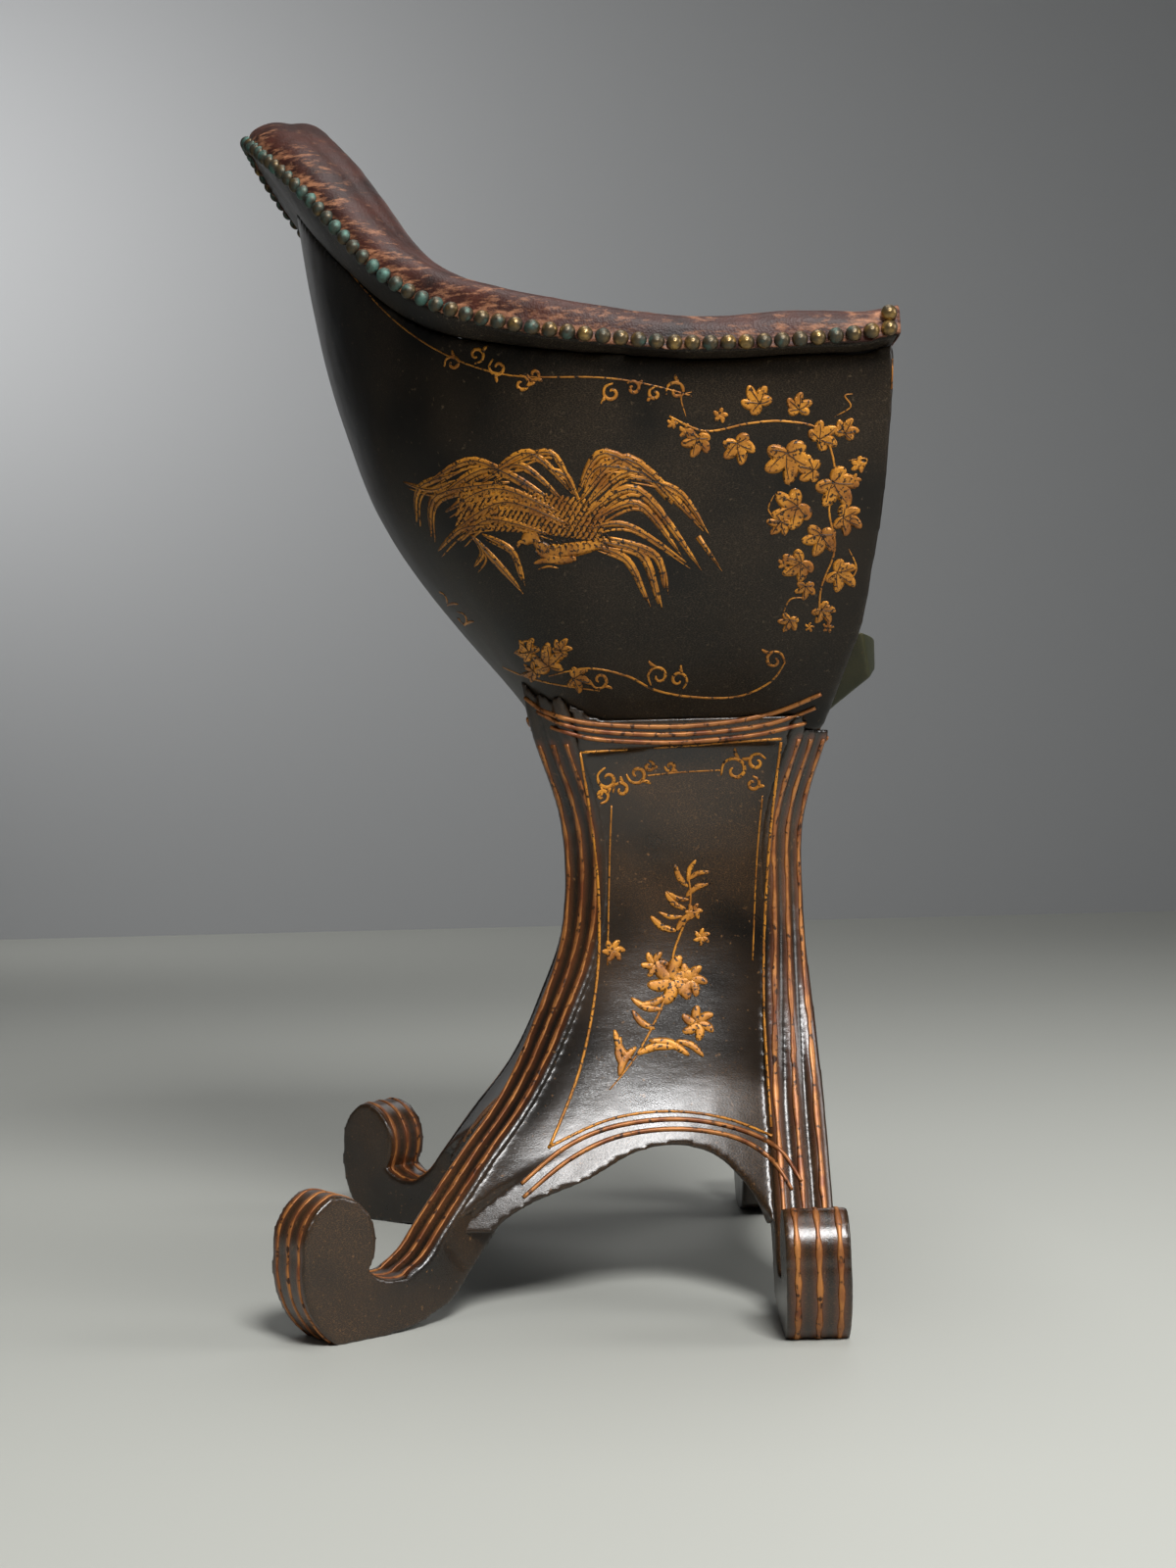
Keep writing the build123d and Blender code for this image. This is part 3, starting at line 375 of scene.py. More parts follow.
def worked(name, nodes, material, grid, rounds, waviness, wave_size, sunk=None, skin=None):
    """CAD solids worked over by hand: edges eased and the surface left slightly uneven."""
    piece = joined_copy(name, nodes, sunk, skin)
    even_grid(piece, grid, rounds)
    unevenness = bpy.data.textures.new(name, "CLOUDS")
    unevenness.noise_scale = wave_size
    displace = piece.modifiers.new("uneven", "DISPLACE")
    displace.texture = unevenness
    displace.texture_coords = "LOCAL"
    displace.strength = waviness
    displace.mid_level = 0.5
    apply_all(piece)
    return settle(piece, material, nodes)


tub_boards = ["tub_back_board", "tub_quarter_board_left", "tub_quarter_board_right",
              "tub_side_board_left", "tub_side_board_right",
              "tub_arm_board_left", "tub_arm_board_right"]
tub = worked("tub_shell", tub_boards, tub_lacquer,
             grid=3.2 * mm, rounds=4, waviness=0.8 * mm, wave_size=50 * mm)
worked("rim_rail", ["crest_rail", "arm_rail_left", "arm_rail_right"], rim_lacquer,
       grid=2.2 * mm, rounds=3, waviness=0.6 * mm, wave_size=20 * mm)
legs = {}
for end in ("front", "rear"):
    for side in ("left", "right"):
        node_name = f"leg_{end}_{side}"
        legs[node_name] = worked(f"carved_{node_name}", [node_name], post_lacquer,
                                 grid=2.0 * mm, rounds=4, waviness=0.7 * mm, wave_size=30 * mm)


def surface_of(pieces):
    """A tree of the faces of several pieces, for casting rays at them."""
    points, faces = [], []
    for piece in pieces:
        start = len(points)
        points += [v.co.copy() for v in piece.data.vertices]
        faces += [[start + i for i in face.vertices] for face in piece.data.polygons]
    return BVHTree.FromPolygons(points, faces)


def smooth_path(points, steps):
    """Points along a smooth curve through the given ones."""
    padded_points = [points[0], *points, points[-1]]
    path = []
    for before, start, end, after in zip(padded_points, padded_points[1:],
                                         padded_points[2:], padded_points[3:]):
        for step in range(steps):
            t = step / steps
            path.append(tuple(
                0.5 * (2 * b + (c - a) * t + (2 * a - 5 * b + 4 * c - d) * t**2
                       + (3 * b - a - 3 * c + d) * t**3)
                for a, b, c, d in zip(before, start, end, after)))
    path.append(tuple(points[-1]))
    return path


# The legs' reeds: their crests carry worn gold over the face and round the scroll, which partly
# stands in as a painted highlight
waist_centre_x, post_reach, post_side = 0.0874, 0.077, 0.076
waist_height, leg_top, top_flare = 0.311, 0.490, 0.070
reed_spacing = 0.0147
upper_leg = [(0.60, 0.40), (0.44, 0.21), (0.29, 0.07), (0.13, 0.0)]
lower_leg = [(1.0, 0.0), (0.83, 0.04), (0.67, 0.15), (0.55, 0.25), (0.43, 0.37), (0.285, 0.575),
             (0.14, 0.777), (0.0, 1.0)]
scroll_shares = [(-0.39, 0.372), (-0.235, 0.42), (-0.275, 0.74), (-0.16, 0.92), (0.04, 1.0),
                 (0.222, 0.86), (0.288, 0.6), (0.27, 0.38), (0.18, 0.13), (0.06, 0.01)]
post_turn = 45
# Where a leg runs into its scroll, as shares of the foot's height
root_setback, root_rise = 0.567, 0.385
# A leg has turned to its foot's direction by this share of its way out
turned_share = 0.4
# Each leg's sign along X, its foot's direction in degrees, its foot's reach and height
leg_sizes = {"rear": (-1, 37.5, 0.238, 0.104), "front": (1, 90.0, 0.174, 0.090)}


def reed_path(sign, spread, reach, foot_height, offset):
    """Points down the middle of one reed of a right-hand leg, out to its scroll's sole."""
    points = []
    start = Vector((waist_centre_x + sign * post_reach, -post_side, 0))
    post = radians(post_turn)
    out_post = Vector((sign * cos(post), -sin(post), 0))
    side_post = Vector((-sign * sin(post), -cos(post), 0))
    for rise, flare in upper_leg:
        height = waist_height + rise * (leg_top - waist_height)
        points.append(start + out_post * flare * top_flare + side_post * offset
                      + Vector((0, 0, height)))
    turn = radians(spread)
    out_spread = Vector((sign * cos(turn), -sin(turn), 0))
    root_reach, root_height = reach - root_setback * foot_height, root_rise * foot_height
    for rise, out in lower_leg:
        blend = radians(post_turn + min(1.0, out / turned_share) * (spread - post_turn))
        side = Vector((-sign * sin(blend), -cos(blend), 0))
        height = root_height + rise * (waist_height - root_height)
        points.append(start + out_spread * out * root_reach + side * offset
                      + Vector((0, 0, height)))
    side = Vector((-sign * sin(turn), -cos(turn), 0))
    for out, rise in scroll_shares:
        points.append(start + out_spread * (reach + out * foot_height) + side * offset
                      + Vector((0, 0, rise * foot_height)))
    return [tuple(point) for point in points]


path_steps = 6


def leg_edge(end, offset):
    """The line down a right-hand leg's surface at an offset from its middle."""
    surface = surface_of([legs[f"leg_{end}_right"]])
    down = reed_path(*leg_sizes[end], offset)[:-len(scroll_shares)]
    return [surface.find_nearest(Vector(point))[0] for point in smooth_path(down, path_steps)]


def twin(line):
    """A line's mirror image on the other side of the chair."""
    return [Vector((p.x, -p.y, p.z)) for p in line]


def at_height(line, height):
    """The point of a falling line at a height."""
    for above, below in zip(line, line[1:]):
        if above.z >= height > below.z:
            return above.lerp(below, (above.z - height) / (above.z - below.z))
    return line[0] if height >= line[0].z else line[-1]


panel_sink = 5 * mm
skin_thickness = 9 * mm
skin_rows, skin_columns = 40, 34
# How square the arch below a panel and the hollow across it are: 2 is a round bow
arch_power, hollow_power = 3.4, 3
depth_step, least_depth = 4 * mm, 2 * mm
ray_start = 0.3


def hollow_skin(panel_name, edges, outward, arch_height):
    """A hollow skin of gesso over a panel, from one leg's reeds to the other's."""
    board = surface_of([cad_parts[panel_name]])
    depths = []
    height = skin_top
    while height > arch_height:
        middle = at_height(edges[0], height).lerp(at_height(edges[1], height), 0.5)
        hit = board.ray_cast(middle + outward * ray_start, -outward)[0]
        if hit is not None:
            depths.append((height, (middle - hit).dot(outward) + panel_sink))
        height -= depth_step
    points = []
    for row in range(skin_rows + 1):
        for column in range(skin_columns + 1):
            across = column / skin_columns
            off_middle = abs(2 * across - 1)
            bowed = 1 - off_middle ** arch_power
            lowest = skin_foot + (arch_height - skin_foot) * bowed
            height = lowest + (skin_top - lowest) * row / skin_rows
            depth = min(depths, key=lambda known: abs(known[0] - height))[1]
            point = at_height(edges[0], height).lerp(at_height(edges[1], height), across)
            hollow = max(depth, least_depth)
            points.append(point - outward * hollow * (1 - off_middle ** hollow_power))
    points += [point - outward * skin_thickness for point in points]
    wide = skin_columns + 1
    back = wide * (skin_rows + 1)
    faces = []
    for row in range(skin_rows):
        for column in range(skin_columns):
            a = row * wide + column
            faces.append((a, a + 1, a + wide + 1, a + wide))
            faces.append((back + a, back + a + wide, back + a + wide + 1, back + a + 1))
    rim = list(range(wide))
    rim += [row * wide + skin_columns for row in range(1, skin_rows + 1)]
    rim += [skin_rows * wide + column for column in reversed(range(skin_columns))]
    rim += [row * wide for row in reversed(range(1, skin_rows))]
    for here, there in zip(rim, rim[1:] + rim[:1]):
        faces.append((there, here, back + here, back + there))
    return points, faces


edge_offset = 20.5 * mm
side_edges = [leg_edge("rear", edge_offset), leg_edge("front", edge_offset)]
front_edge, back_edge = leg_edge("front", -edge_offset), leg_edge("rear", -edge_offset)
side_arch, end_arch = 0.120, 0.116
skins = {
    "right": (side_edges, Vector((0, -1, 0)), side_arch),
    "left": ([twin(line) for line in side_edges], Vector((0, 1, 0)), side_arch),
    "front": ([front_edge, twin(front_edge)], Vector((1, 0, 0)), end_arch),
    "back": ([back_edge, twin(back_edge)], Vector((-1, 0, 0)), end_arch),
}
panels = {}
for side, (edges, outward, arch_height) in skins.items():
    nodes = [f"panel_{side}", f"moulding_{side}"]
    panels[side] = worked(f"dressed_panel_{side}", nodes, post_lacquer,
                          grid=2.6 * mm, rounds=4, waviness=0.7 * mm, wave_size=40 * mm,
                          sunk={nodes[0]: -outward * panel_sink},
                          skin=hollow_skin(nodes[0], edges, outward, arch_height))

# How near each point of a leg is to a reed's crest
crest_reach = 6 * mm
crest_steps = 24
reed_offsets = (-reed_spacing, 0, reed_spacing)
for end, sizes in leg_sizes.items():
    crest_points = []
    for offset in reed_offsets:
        crest_points += smooth_path(reed_path(*sizes, offset), crest_steps)
    surface = surface_of([legs[f"leg_{end}_right"]])
    tree = KDTree(len(crest_points))
    for index, point in enumerate(crest_points):
        tree.insert(surface.find_nearest(Vector(point))[0], index)
    tree.balance()
    for side in ("left", "right"):
        leg = legs[f"leg_{end}_{side}"]
        crest = leg.data.attributes.new("crest", "FLOAT", "POINT")
        for index, vertex in enumerate(leg.data.vertices):
            place = Vector((vertex.co.x, -abs(vertex.co.y), vertex.co.z))
            crest.data[index].value = max(0.0, 1 - tree.find(place)[2] / crest_reach)

worked("painted_apron", ["seat_apron"], apron_paint,
       grid=1.6 * mm, rounds=3, waviness=0.4 * mm, wave_size=20 * mm)

rim_roll = worked("rim_roll", ["rim_leather", "rim_stuffing"], rim_hide,
                  grid=2.4 * mm, rounds=6, waviness=1.2 * mm, wave_size=22 * mm)
lining = worked("tub_lining", ["inside_leather", "inside_padding"], seat_hide,
                grid=3.0 * mm, rounds=5, waviness=1.8 * mm, wave_size=35 * mm)


held_height = 8 * mm
most_swell = 6 * mm
cloth_pressure, cloth_frames = 4, 15


def stuffed_seat():
    """The seat pad: its cover inflated as cloth over the webbing."""
    nodes = ["seat_leather", "seat_stuffing"]
    pad = joined_copy("seat_pad", nodes)
    even_grid(pad, grid=5 * mm, rounds=3)
    apply_all(pad)
    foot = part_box("seat_stuffing")[0][2]
    held = pad.vertex_groups.new(name="held")
    resting = [v.index for v in pad.data.vertices if v.co.z < foot + held_height]
    held.add(resting, 1.0, "REPLACE")
    before = [v.co.copy() for v in pad.data.vertices]
    cloth = pad.modifiers.new("cover", "CLOTH")
    cloth.settings.use_pressure = True
    cloth.settings.uniform_pressure_force = cloth_pressure
    cloth.settings.vertex_group_mass = "held"
    cloth.settings.effector_weights.gravity = 0
    for step in range(1, cloth_frames + 1):
        bpy.context.scene.frame_set(step)
    apply_all(pad)
    for vertex, start in zip(pad.data.vertices, before):
        moved = vertex.co - start
        if moved.length > most_swell:
            vertex.co = start + moved.normalized() * most_swell
    bpy.context.scene.frame_set(1)
    finer = pad.modifiers.new("finer", "SUBSURF")
    finer.levels = 1
    finer.render_levels = 1
    apply_all(pad)
    settle(pad, seat_hide, nodes)


stuffed_seat()

sharpest_smooth_edge = radians(50)
nails = joined_copy("nail_heads", ["rim_nails"])
settle(nails, nail_brass, ["rim_nails"])
bpy.context.view_layer.objects.active = nails
nails.select_set(True)
bpy.ops.object.shade_smooth_by_angle(angle=sharpest_smooth_edge)
nails.select_set(False)

nail_points = BVHTree.FromPolygons([v.co.copy() for v in nails.data.vertices],
                                   [list(face.vertices) for face in nails.data.polygons])
# How near each point of the roll is to the nails
hem_reach = 32 * mm
near_nails = rim_roll.data.attributes.new("near_nails", "FLOAT", "POINT")
for index, vertex in enumerate(rim_roll.data.vertices):
    distance = nail_points.find_nearest(vertex.co)[3]
    near_nails.data[index].value = max(0.0, 1 - distance / hem_reach)

bare_parts = {
    "tub_floor": inner_beech, "deck_board": inner_beech, "seat_webbing": jute,
    "deck_screws": dull_steel, "seat_rail_front": inner_beech, "seat_rail_back": inner_beech,
    "seat_rail_left": inner_beech, "seat_rail_right": inner_beech,
    "glue_block_front": inner_beech, "glue_block_back": inner_beech,
    "glue_block_left": inner_beech, "glue_block_right": inner_beech,
}
for node_name, material in bare_parts.items():
    for material_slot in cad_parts[node_name].material_slots:
        material_slot.material = material


carved_wood = surface_of([tub, *legs.values(), *panels.values()])


def photo_ray(u, v):
    """The direction in which the photograph's camera sees a pixel."""
    right, down = u - photo_middle[0], v - photo_middle[1]
    across = right * cos(camera_roll) - down * sin(camera_roll)
    fall = right * sin(camera_roll) + down * cos(camera_roll)
    return Vector((across / focal_pixels, 1, -fall / focal_pixels)).normalized()


# A stroke leaves out points where its ray grazes the wood, and breaks before a long leap
least_facing, longest_step = 0.16, 16 * mm
# The dark drawing: how wide its lines are in millimetres, and how far they clear the gold
ink_width, ink_lift = 0.7, 0.5 * mm


class Relief:
    """Raised brush strokes and ridges on the wood, gathered into one piece."""

    # A band's section: four points over the wood and one sunk into it
    section_points = 5
    shoulder, shoulder_rise, steepest = 0.5, 0.8, 0.7
    sunk_depth = 0.4 * mm
    thinnest = 0.3
    end_share = 0.04
    # How far a dab bows, in degrees, and how wide a flower's petal is for its length
    petal_bow, flower_width = 14, 0.42
    # Each lobe of a leaf is a dab with a shorter, thinner one turned beside it
    lobe_width, side_turn, side_reach, side_width = 0.36, 20, 0.75, 0.2
    # A vein is turned by some degrees and bows by some radians
    vein_turn, vein_bow = 4, 0.1
    # The lobes of a leaf and its veins, as a turn in degrees and a share of its size
    leaf_lobes = ((-105, 0.62), (-52, 0.88), (0, 1.0), (52, 0.88), (105, 0.62))
    leaf_veins = ((-105, 0.5), (-52, 0.7), (0, 0.85), (52, 0.7), (105, 0.5))
    curl_points, curl_closing = 9, 0.78
    bud_share, bud_reach, bud_size, bud_turn = 0.3, 0.85, 0.8, 40

    def __init__(self):
        self.points, self.faces = [], []

    def band(self, places, widths, height):
        """A closed raised band over (place, normal) pairs, with a width at each."""
        if len(places) < 3:
            return
        start = len(self.points)
        for index, (place, normal) in enumerate(places):
            before = places[max(index - 1, 0)][0]
            after = places[min(index + 1, len(places) - 1)][0]
            across = (after - before).cross(normal).normalized() * widths[index] / 2
            inner = across * self.shoulder
            rise = normal * min(height, widths[index] * self.steepest) * self.shoulder_rise
            self.points += [
                place - across, place - inner + rise, place + inner + rise, place + across,
                place - normal * self.sunk_depth,
            ]
        sides = self.section_points
        for ring in range(len(places) - 1):
            for side in range(sides):
                a = start + ring * sides + side
                b = start + ring * sides + (side + 1) % sides
                self.faces.append((a, b, b + sides, a + sides))
        last = start + (len(places) - 1) * sides
        self.faces.append(tuple(start + side for side in reversed(range(sides))))
        self.faces.append(tuple(last + side for side in range(sides)))

    def stroke(self, pixels, width, height=0.5 * mm, taper=0.8, steps=6, lift=0.0):
        """A stroke through photograph pixels, cast onto the wood; width in millimetres."""
        path = smooth_path(pixels, steps)
        places, widths = [], []
        for index, (u, v) in enumerate(path):
            ray = photo_ray(u, v)
            place, normal, _, _ = carved_wood.ray_cast(camera_place, ray)
            if place is None or -normal.dot(ray) < least_facing:
                continue
            if places and (place - places[-1][0]).length > longest_step:
                self.band(places, widths, height)
                places, widths = [], []
            share = index / (len(path) - 1)
            along = self.end_share + (1 - 2 * self.end_share) * share
            swell = sin(pi * along) ** taper if taper else 1.0
            places.append((place + normal * lift, normal))
            widths.append(max(width * swell, self.thinnest) * mm)
        self.band(places, widths, height)

    def petal(self, u, v, angle, length, width):
        """One almond-shaped dab from a pixel; the length is in pixels."""
        turn = radians(angle)
        bow = radians(angle + self.petal_bow)
        self.stroke([
            (u, v), (u + 0.5 * length * cos(bow), v - 0.5 * length * sin(bow)),
            (u + length * cos(turn), v - length * sin(turn)),
        ], width, taper=0.7, steps=4)

    def leaf(self, u, v, size, turn):
        """A vine leaf of five pointed lobes with bare veins between them."""
        for lobe, reach in self.leaf_lobes:
            self.petal(u, v, turn + lobe, size * reach, size * self.lobe_width)
            self.petal(u, v, turn + lobe + self.side_turn, size * reach * self.side_reach,
                       size * self.side_width)

    def veins(self, u, v, size, turn):
        """The dark veins of a vine leaf, over its gold."""
        for lobe, reach in self.leaf_veins:
            angle = radians(turn + lobe + self.vein_turn)
            tip = (u + size * reach * cos(angle), v - size * reach * sin(angle))
            bent, half = angle - self.vein_bow, size * reach * 0.5
            middle = (u + half * cos(bent), v - half * sin(bent))
            self.stroke([(u, v), middle, tip], ink_width, taper=0.5, steps=3, lift=ink_lift)

    def curl(self, u, v, radius, start, turn, width=2.6):
        """A scroll that winds inwards about a pixel, with a leaf bud on its back."""
        points = []
        for index in range(self.curl_points):
            share = index / (self.curl_points - 1)
            angle = radians(start + turn * share)
            reach = radius * (1 - self.curl_closing * share)
            points.append((u + reach * cos(angle), v - reach * sin(angle)))
        self.stroke(points, width, taper=0.4, steps=3)
        bud = start + turn * self.bud_share
        reach = radius * self.bud_reach
        self.petal(u + reach * cos(radians(bud)), v - reach * sin(radians(bud)),
                   bud + self.bud_turn, radius * self.bud_size, width)

    def flower(self, u, v, size, turn=0, petals=6):
        """A round flower seen from the front."""
        for index in range(petals):
            self.petal(u, v, turn + index * 360 / petals, size, size * self.flower_width)

    def finish(self, name, material, both_sides=True):
        """Make the piece, with its twin on the far side of the chair."""
        sheet = bmesh.new()
        verts = [sheet.verts.new(point) for point in self.points]
        for face in self.faces:
            sheet.faces.new([verts[i] for i in face])
        if both_sides:
            twins = [sheet.verts.new(point) for point in twin(self.points)]
            for face in self.faces:
                sheet.faces.new([twins[i] for i in reversed(face)])
        bmesh.ops.recalc_face_normals(sheet, faces=sheet.faces)
        settle(as_piece(name, sheet), material, [])


# Gold ornament of the tub's side, by pixels of the photograph: paths, (path, width) pairs,
# curls (u, v, radius, start, turn), leaves (u, v, size, turn) and flowers (u, v, size)
border_line = [(352, 272), (400, 325), (455, 362), (520, 383), (610, 385), (660, 392), (706, 404)]
border_curls = [
    (462, 371, 9, 200, -420), (486, 362, 9, 260, 400), (508, 375, 10, 120, 420),
    (532, 392, 9, 100, -380), (545, 382, 7, 180, 400), (624, 401, 10, 80, 420),
    (646, 396, 8, 140, -400), (668, 402, 7, 90, 380), (690, 399, 11, 200, -420),
]
vine_stem = [(683, 425), (720, 440), (765, 432), (802, 430), (838, 440), (852, 480), (846, 520),
             (852, 560), (838, 600), (836, 632)]
vine_leaves = [
    (712, 447, 17, 250), (752, 452, 19, 280), (803, 462, 27, 270), (836, 448, 18, 30),
    (862, 442, 14, 60), (775, 412, 18, 120), (815, 418, 15, 80), (850, 492, 25, 300),
    (814, 516, 24, 200), (797, 532, 14, 230), (860, 528, 18, 330), (838, 545, 20, 250),
    (818, 574, 19, 210), (854, 584, 19, 320), (806, 632, 12, 240), (838, 622, 14, 300),
    (830, 480, 16, 160), (822, 598, 12, 260),
]
vine_flowers = [(700, 440, 8), (735, 424, 8), (686, 432, 6), (876, 474, 9), (872, 490, 7),
                (862, 506, 6), (800, 575, 7), (845, 640, 6), (826, 640, 5)]
vine_tendrils = [
    [(852, 425), (868, 415), (862, 404), (870, 402)], [(866, 470), (884, 468), (880, 480)],
    [(700, 425), (695, 405), (706, 400)], [(866, 560), (874, 580), (866, 594)],
    [(790, 505), (784, 520), (794, 532)], [(822, 610), (806, 612), (798, 630)],
]
bird_plumes = [
    ([(412, 492), (440, 500), (462, 492)], 5), ([(425, 532), (428, 498), (468, 482)], 6),
    ([(440, 547), (446, 505), (520, 492)], 7), ([(440, 490), (485, 470), (545, 500)], 6),
    ([(450, 505), (500, 478), (560, 508)], 7), ([(455, 522), (505, 498), (570, 522)], 7),
    ([(465, 540), (515, 512), (580, 535)], 7), ([(470, 552), (500, 530), (560, 545)], 6),
    ([(447, 562), (470, 540), (500, 535)], 5), ([(480, 545), (505, 572), (530, 600)], 7),
    ([(492, 545), (522, 562), (532, 592)], 6), ([(486, 552), (492, 565), (484, 578)], 5),
    ([(500, 484), (540, 462), (580, 498)], 6), ([(520, 474), (562, 462), (586, 505)], 5),
    ([(492, 492), (530, 474), (572, 508)], 5), ([(590, 502), (618, 462), (690, 506)], 7),
    ([(592, 510), (640, 468), (714, 536)], 8), ([(596, 516), (655, 482), (733, 577)], 7),
    ([(600, 525), (650, 500), (712, 576)], 7), ([(604, 532), (650, 514), (692, 562)], 6),
    ([(596, 498), (612, 476), (655, 482)], 5), ([(612, 552), (655, 566), (672, 616)], 7),
    ([(620, 548), (668, 566), (678, 600)], 6), ([(606, 556), (640, 572), (660, 613)], 6),
    ([(588, 506), (578, 486), (560, 478)], 5), ([(640, 486), (690, 500), (720, 540)], 5),
    ([(545, 575), (556, 572), (566, 574)], 4), ([(600, 540), (640, 536), (700, 574)], 5),
]
bird_body = [
    ([(545, 552), (562, 562), (590, 560), (622, 552)], 11),
    ([(547, 561), (566, 571), (588, 570)], 7), ([(534, 554), (541, 548), (550, 552)], 10),
    ([(536, 552), (530, 554), (527, 559)], 3),
]
# Rows of short feathers cover the bird's body and wing, in pixels and degrees
feather_rows, feather_columns = 8, 27
feather_start, body_length, body_sag = (468, 498), 146, 14
feather_row_step, feather_row_shift = 5, 2.8
feather_angle, feather_turn = 250, -30
feather_length, feather_width = 9, 2.7
low_border = [
    [(430, 598), (446, 622), (480, 660), (520, 684), (560, 697), (612, 705)],
    [(560, 690), (600, 682), (640, 690), (668, 704), (704, 711), (752, 711), (786, 696),
     (801, 676)],
]
low_curls = [
    (446, 612, 14, 200, 430), (468, 634, 10, 100, -400), (790, 674, 11, 350, 430),
    (672, 690, 12, 230, -420), (692, 694, 10, 300, 400), (612, 694, 10, 180, 420),
    (538, 662, 9, 60, 400),
]
low_flowers = [(560, 680, 24, 90), (541, 666, 17, 130), (586, 692, 18, 340), (545, 684, 14, 200),
               (572, 664, 14, 60)]
front_edge_line = [(911, 356), (908, 450), (901, 540), (890, 625), (874, 690)]

leaf_growth = 1.2
# Each plume has a thin second stroke below it, this many pixels away
second_u, second_v, second_width = 4, 6, 0.4
side_gold = Relief()
side_gold.stroke(border_line, 1.2, taper=0)
for curl in border_curls + low_curls:
    side_gold.curl(*curl)
side_gold.stroke(vine_stem, 1.6, taper=0)
vine_leaves = [(u, v, size * leaf_growth, turn) for u, v, size, turn in vine_leaves]
for leaf in vine_leaves:
    side_gold.leaf(*leaf)
for flower in vine_flowers:
    side_gold.flower(*flower, petals=5)
for tendril in vine_tendrils:
    side_gold.stroke(tendril, 1.2)
for plume, width in bird_plumes:
    side_gold.stroke(plume, width)
    side_gold.stroke([(u + second_u, v + second_v) for u, v in plume], width * second_width)
for dab, width in bird_body:
    side_gold.stroke(dab, width, taper=0.5)
for row in range(feather_rows):
    for column in range(feather_columns):
        share = column / (feather_columns - 1)
        feather_u = feather_start[0] + body_length * share + feather_row_shift * (row % 2)
        feather_v = feather_start[1] + feather_row_step * row + body_sag * share**2
        side_gold.petal(feather_u, feather_v, feather_angle + feather_turn * share,
                        feather_length, feather_width)
for line in low_border:
    side_gold.stroke(line, 2.2, taper=0.4)
for flower in low_flowers:
    side_gold.leaf(*flower)
side_gold.stroke(front_edge_line, 1.6, height=0.7 * mm, taper=0)

# Gold ornament of the pedestal's side
inner_bead = [(560, 1172), (592, 1090), (609, 1000), (611, 920), (605, 850), (592, 768)]
top_bead = [(592, 768), (650, 764), (700, 761), (750, 757), (798, 754)]
right_bead = [(797, 757), (786, 850), (780, 950), (780, 1040), (787, 1150)]
panel_threads = [
    [(624, 822), (622, 880), (620, 985)], [(778, 812), (772, 880), (768, 980)],
    [(657, 792), (695, 788), (735, 786)],
]
corner_curls = [
    (620, 795, 12, 100, 430), (634, 806, 9, 200, -420), (614, 812, 8, 260, 400),
    (650, 790, 11, 180, 420), (662, 782, 6, 90, -380), (684, 782, 6, 180, 400),
    (750, 786, 15, 200, -430), (772, 778, 10, 20, 420), (768, 800, 8, 90, -400),
]
spray_stem = [(622, 1112), (650, 1076), (678, 1020), (688, 970), (704, 925), (702, 890)]
spray_petals = [
    (632, 1098, 60, 34, 7), (636, 1090, 95, 32, 6), (645, 1082, 120, 36, 6),
    (650, 1076, 10, 40, 7), (662, 1062, 340, 44, 7), (668, 1050, 140, 30, 6),
    (690, 1062, 330, 32, 6), (676, 1030, 160, 34, 6), (690, 950, 150, 30, 6),
    (690, 950, 40, 32, 6), (700, 928, 140, 28, 5), (700, 915, 30, 26, 5),
    (702, 905, 120, 26, 5), (702, 900, 70, 24, 4), (702, 898, 20, 24, 4),
    (696, 935, 170, 24, 4), (703, 918, 160, 24, 4), (680, 1015, 200, 30, 6),
]
spray_flowers = [(686, 1000, 26, 10), (712, 1044, 18, 30), (668, 984, 14, 0), (708, 930, 9, 0),
                 (716, 956, 9, 20), (626, 970, 12, 0), (704, 1000, 18, 50)]
arch_line = [(559, 1171), (620, 1143), (681, 1134), (740, 1141), (788, 1159)]

post_gold = Relief()
for bead in (inner_bead, top_bead, right_bead, arch_line):
    post_gold.stroke(bead, 2.4, height=1.0 * mm, taper=0)
for thread in panel_threads:
    post_gold.stroke(thread, 1.3, taper=0)
for curl in corner_curls:
    post_gold.curl(*curl, width=3.0)
post_gold.stroke(spray_stem, 2.0, taper=0.4)
for petal in spray_petals:
    post_gold.petal(*petal)
for flower in spray_flowers:
    post_gold.flower(*flower)
side_gold.finish("side_ornament", ornament_gold)

# Dark drawing over the gold: the leaves' veins and the feathers' shafts and scales
shaft_from = 4
scale_rows, scale_columns, scale_step, scale_width = 4, 13, 6, 0.8
scale_start, scale_bow, scale_bow_columns = (546, 562), 8, 16
scale_curve = [(0, 0), (2.4, 2), (2, 4.5)]
ink = Relief()
for leaf in vine_leaves + low_flowers:
    ink.veins(*leaf)
for plume, width in bird_plumes:
    if width > shaft_from:
        ink.stroke(plume, ink_width, taper=0.5, lift=ink_lift)
for row in range(scale_rows):
    for column in range(scale_columns):
        u = scale_start[0] + scale_step * column + scale_step / 2 * (row % 2)
        v = scale_start[1] - scale_step * row - scale_bow * sin(pi * column / scale_bow_columns)
        ink.stroke([(u + right, v + down) for right, down in scale_curve], scale_width,
                   taper=0.5, steps=2, lift=ink_lift)
ink.finish("ornament_drawing", ink_brown)
post_gold.finish("pedestal_ornament", ornament_gold)
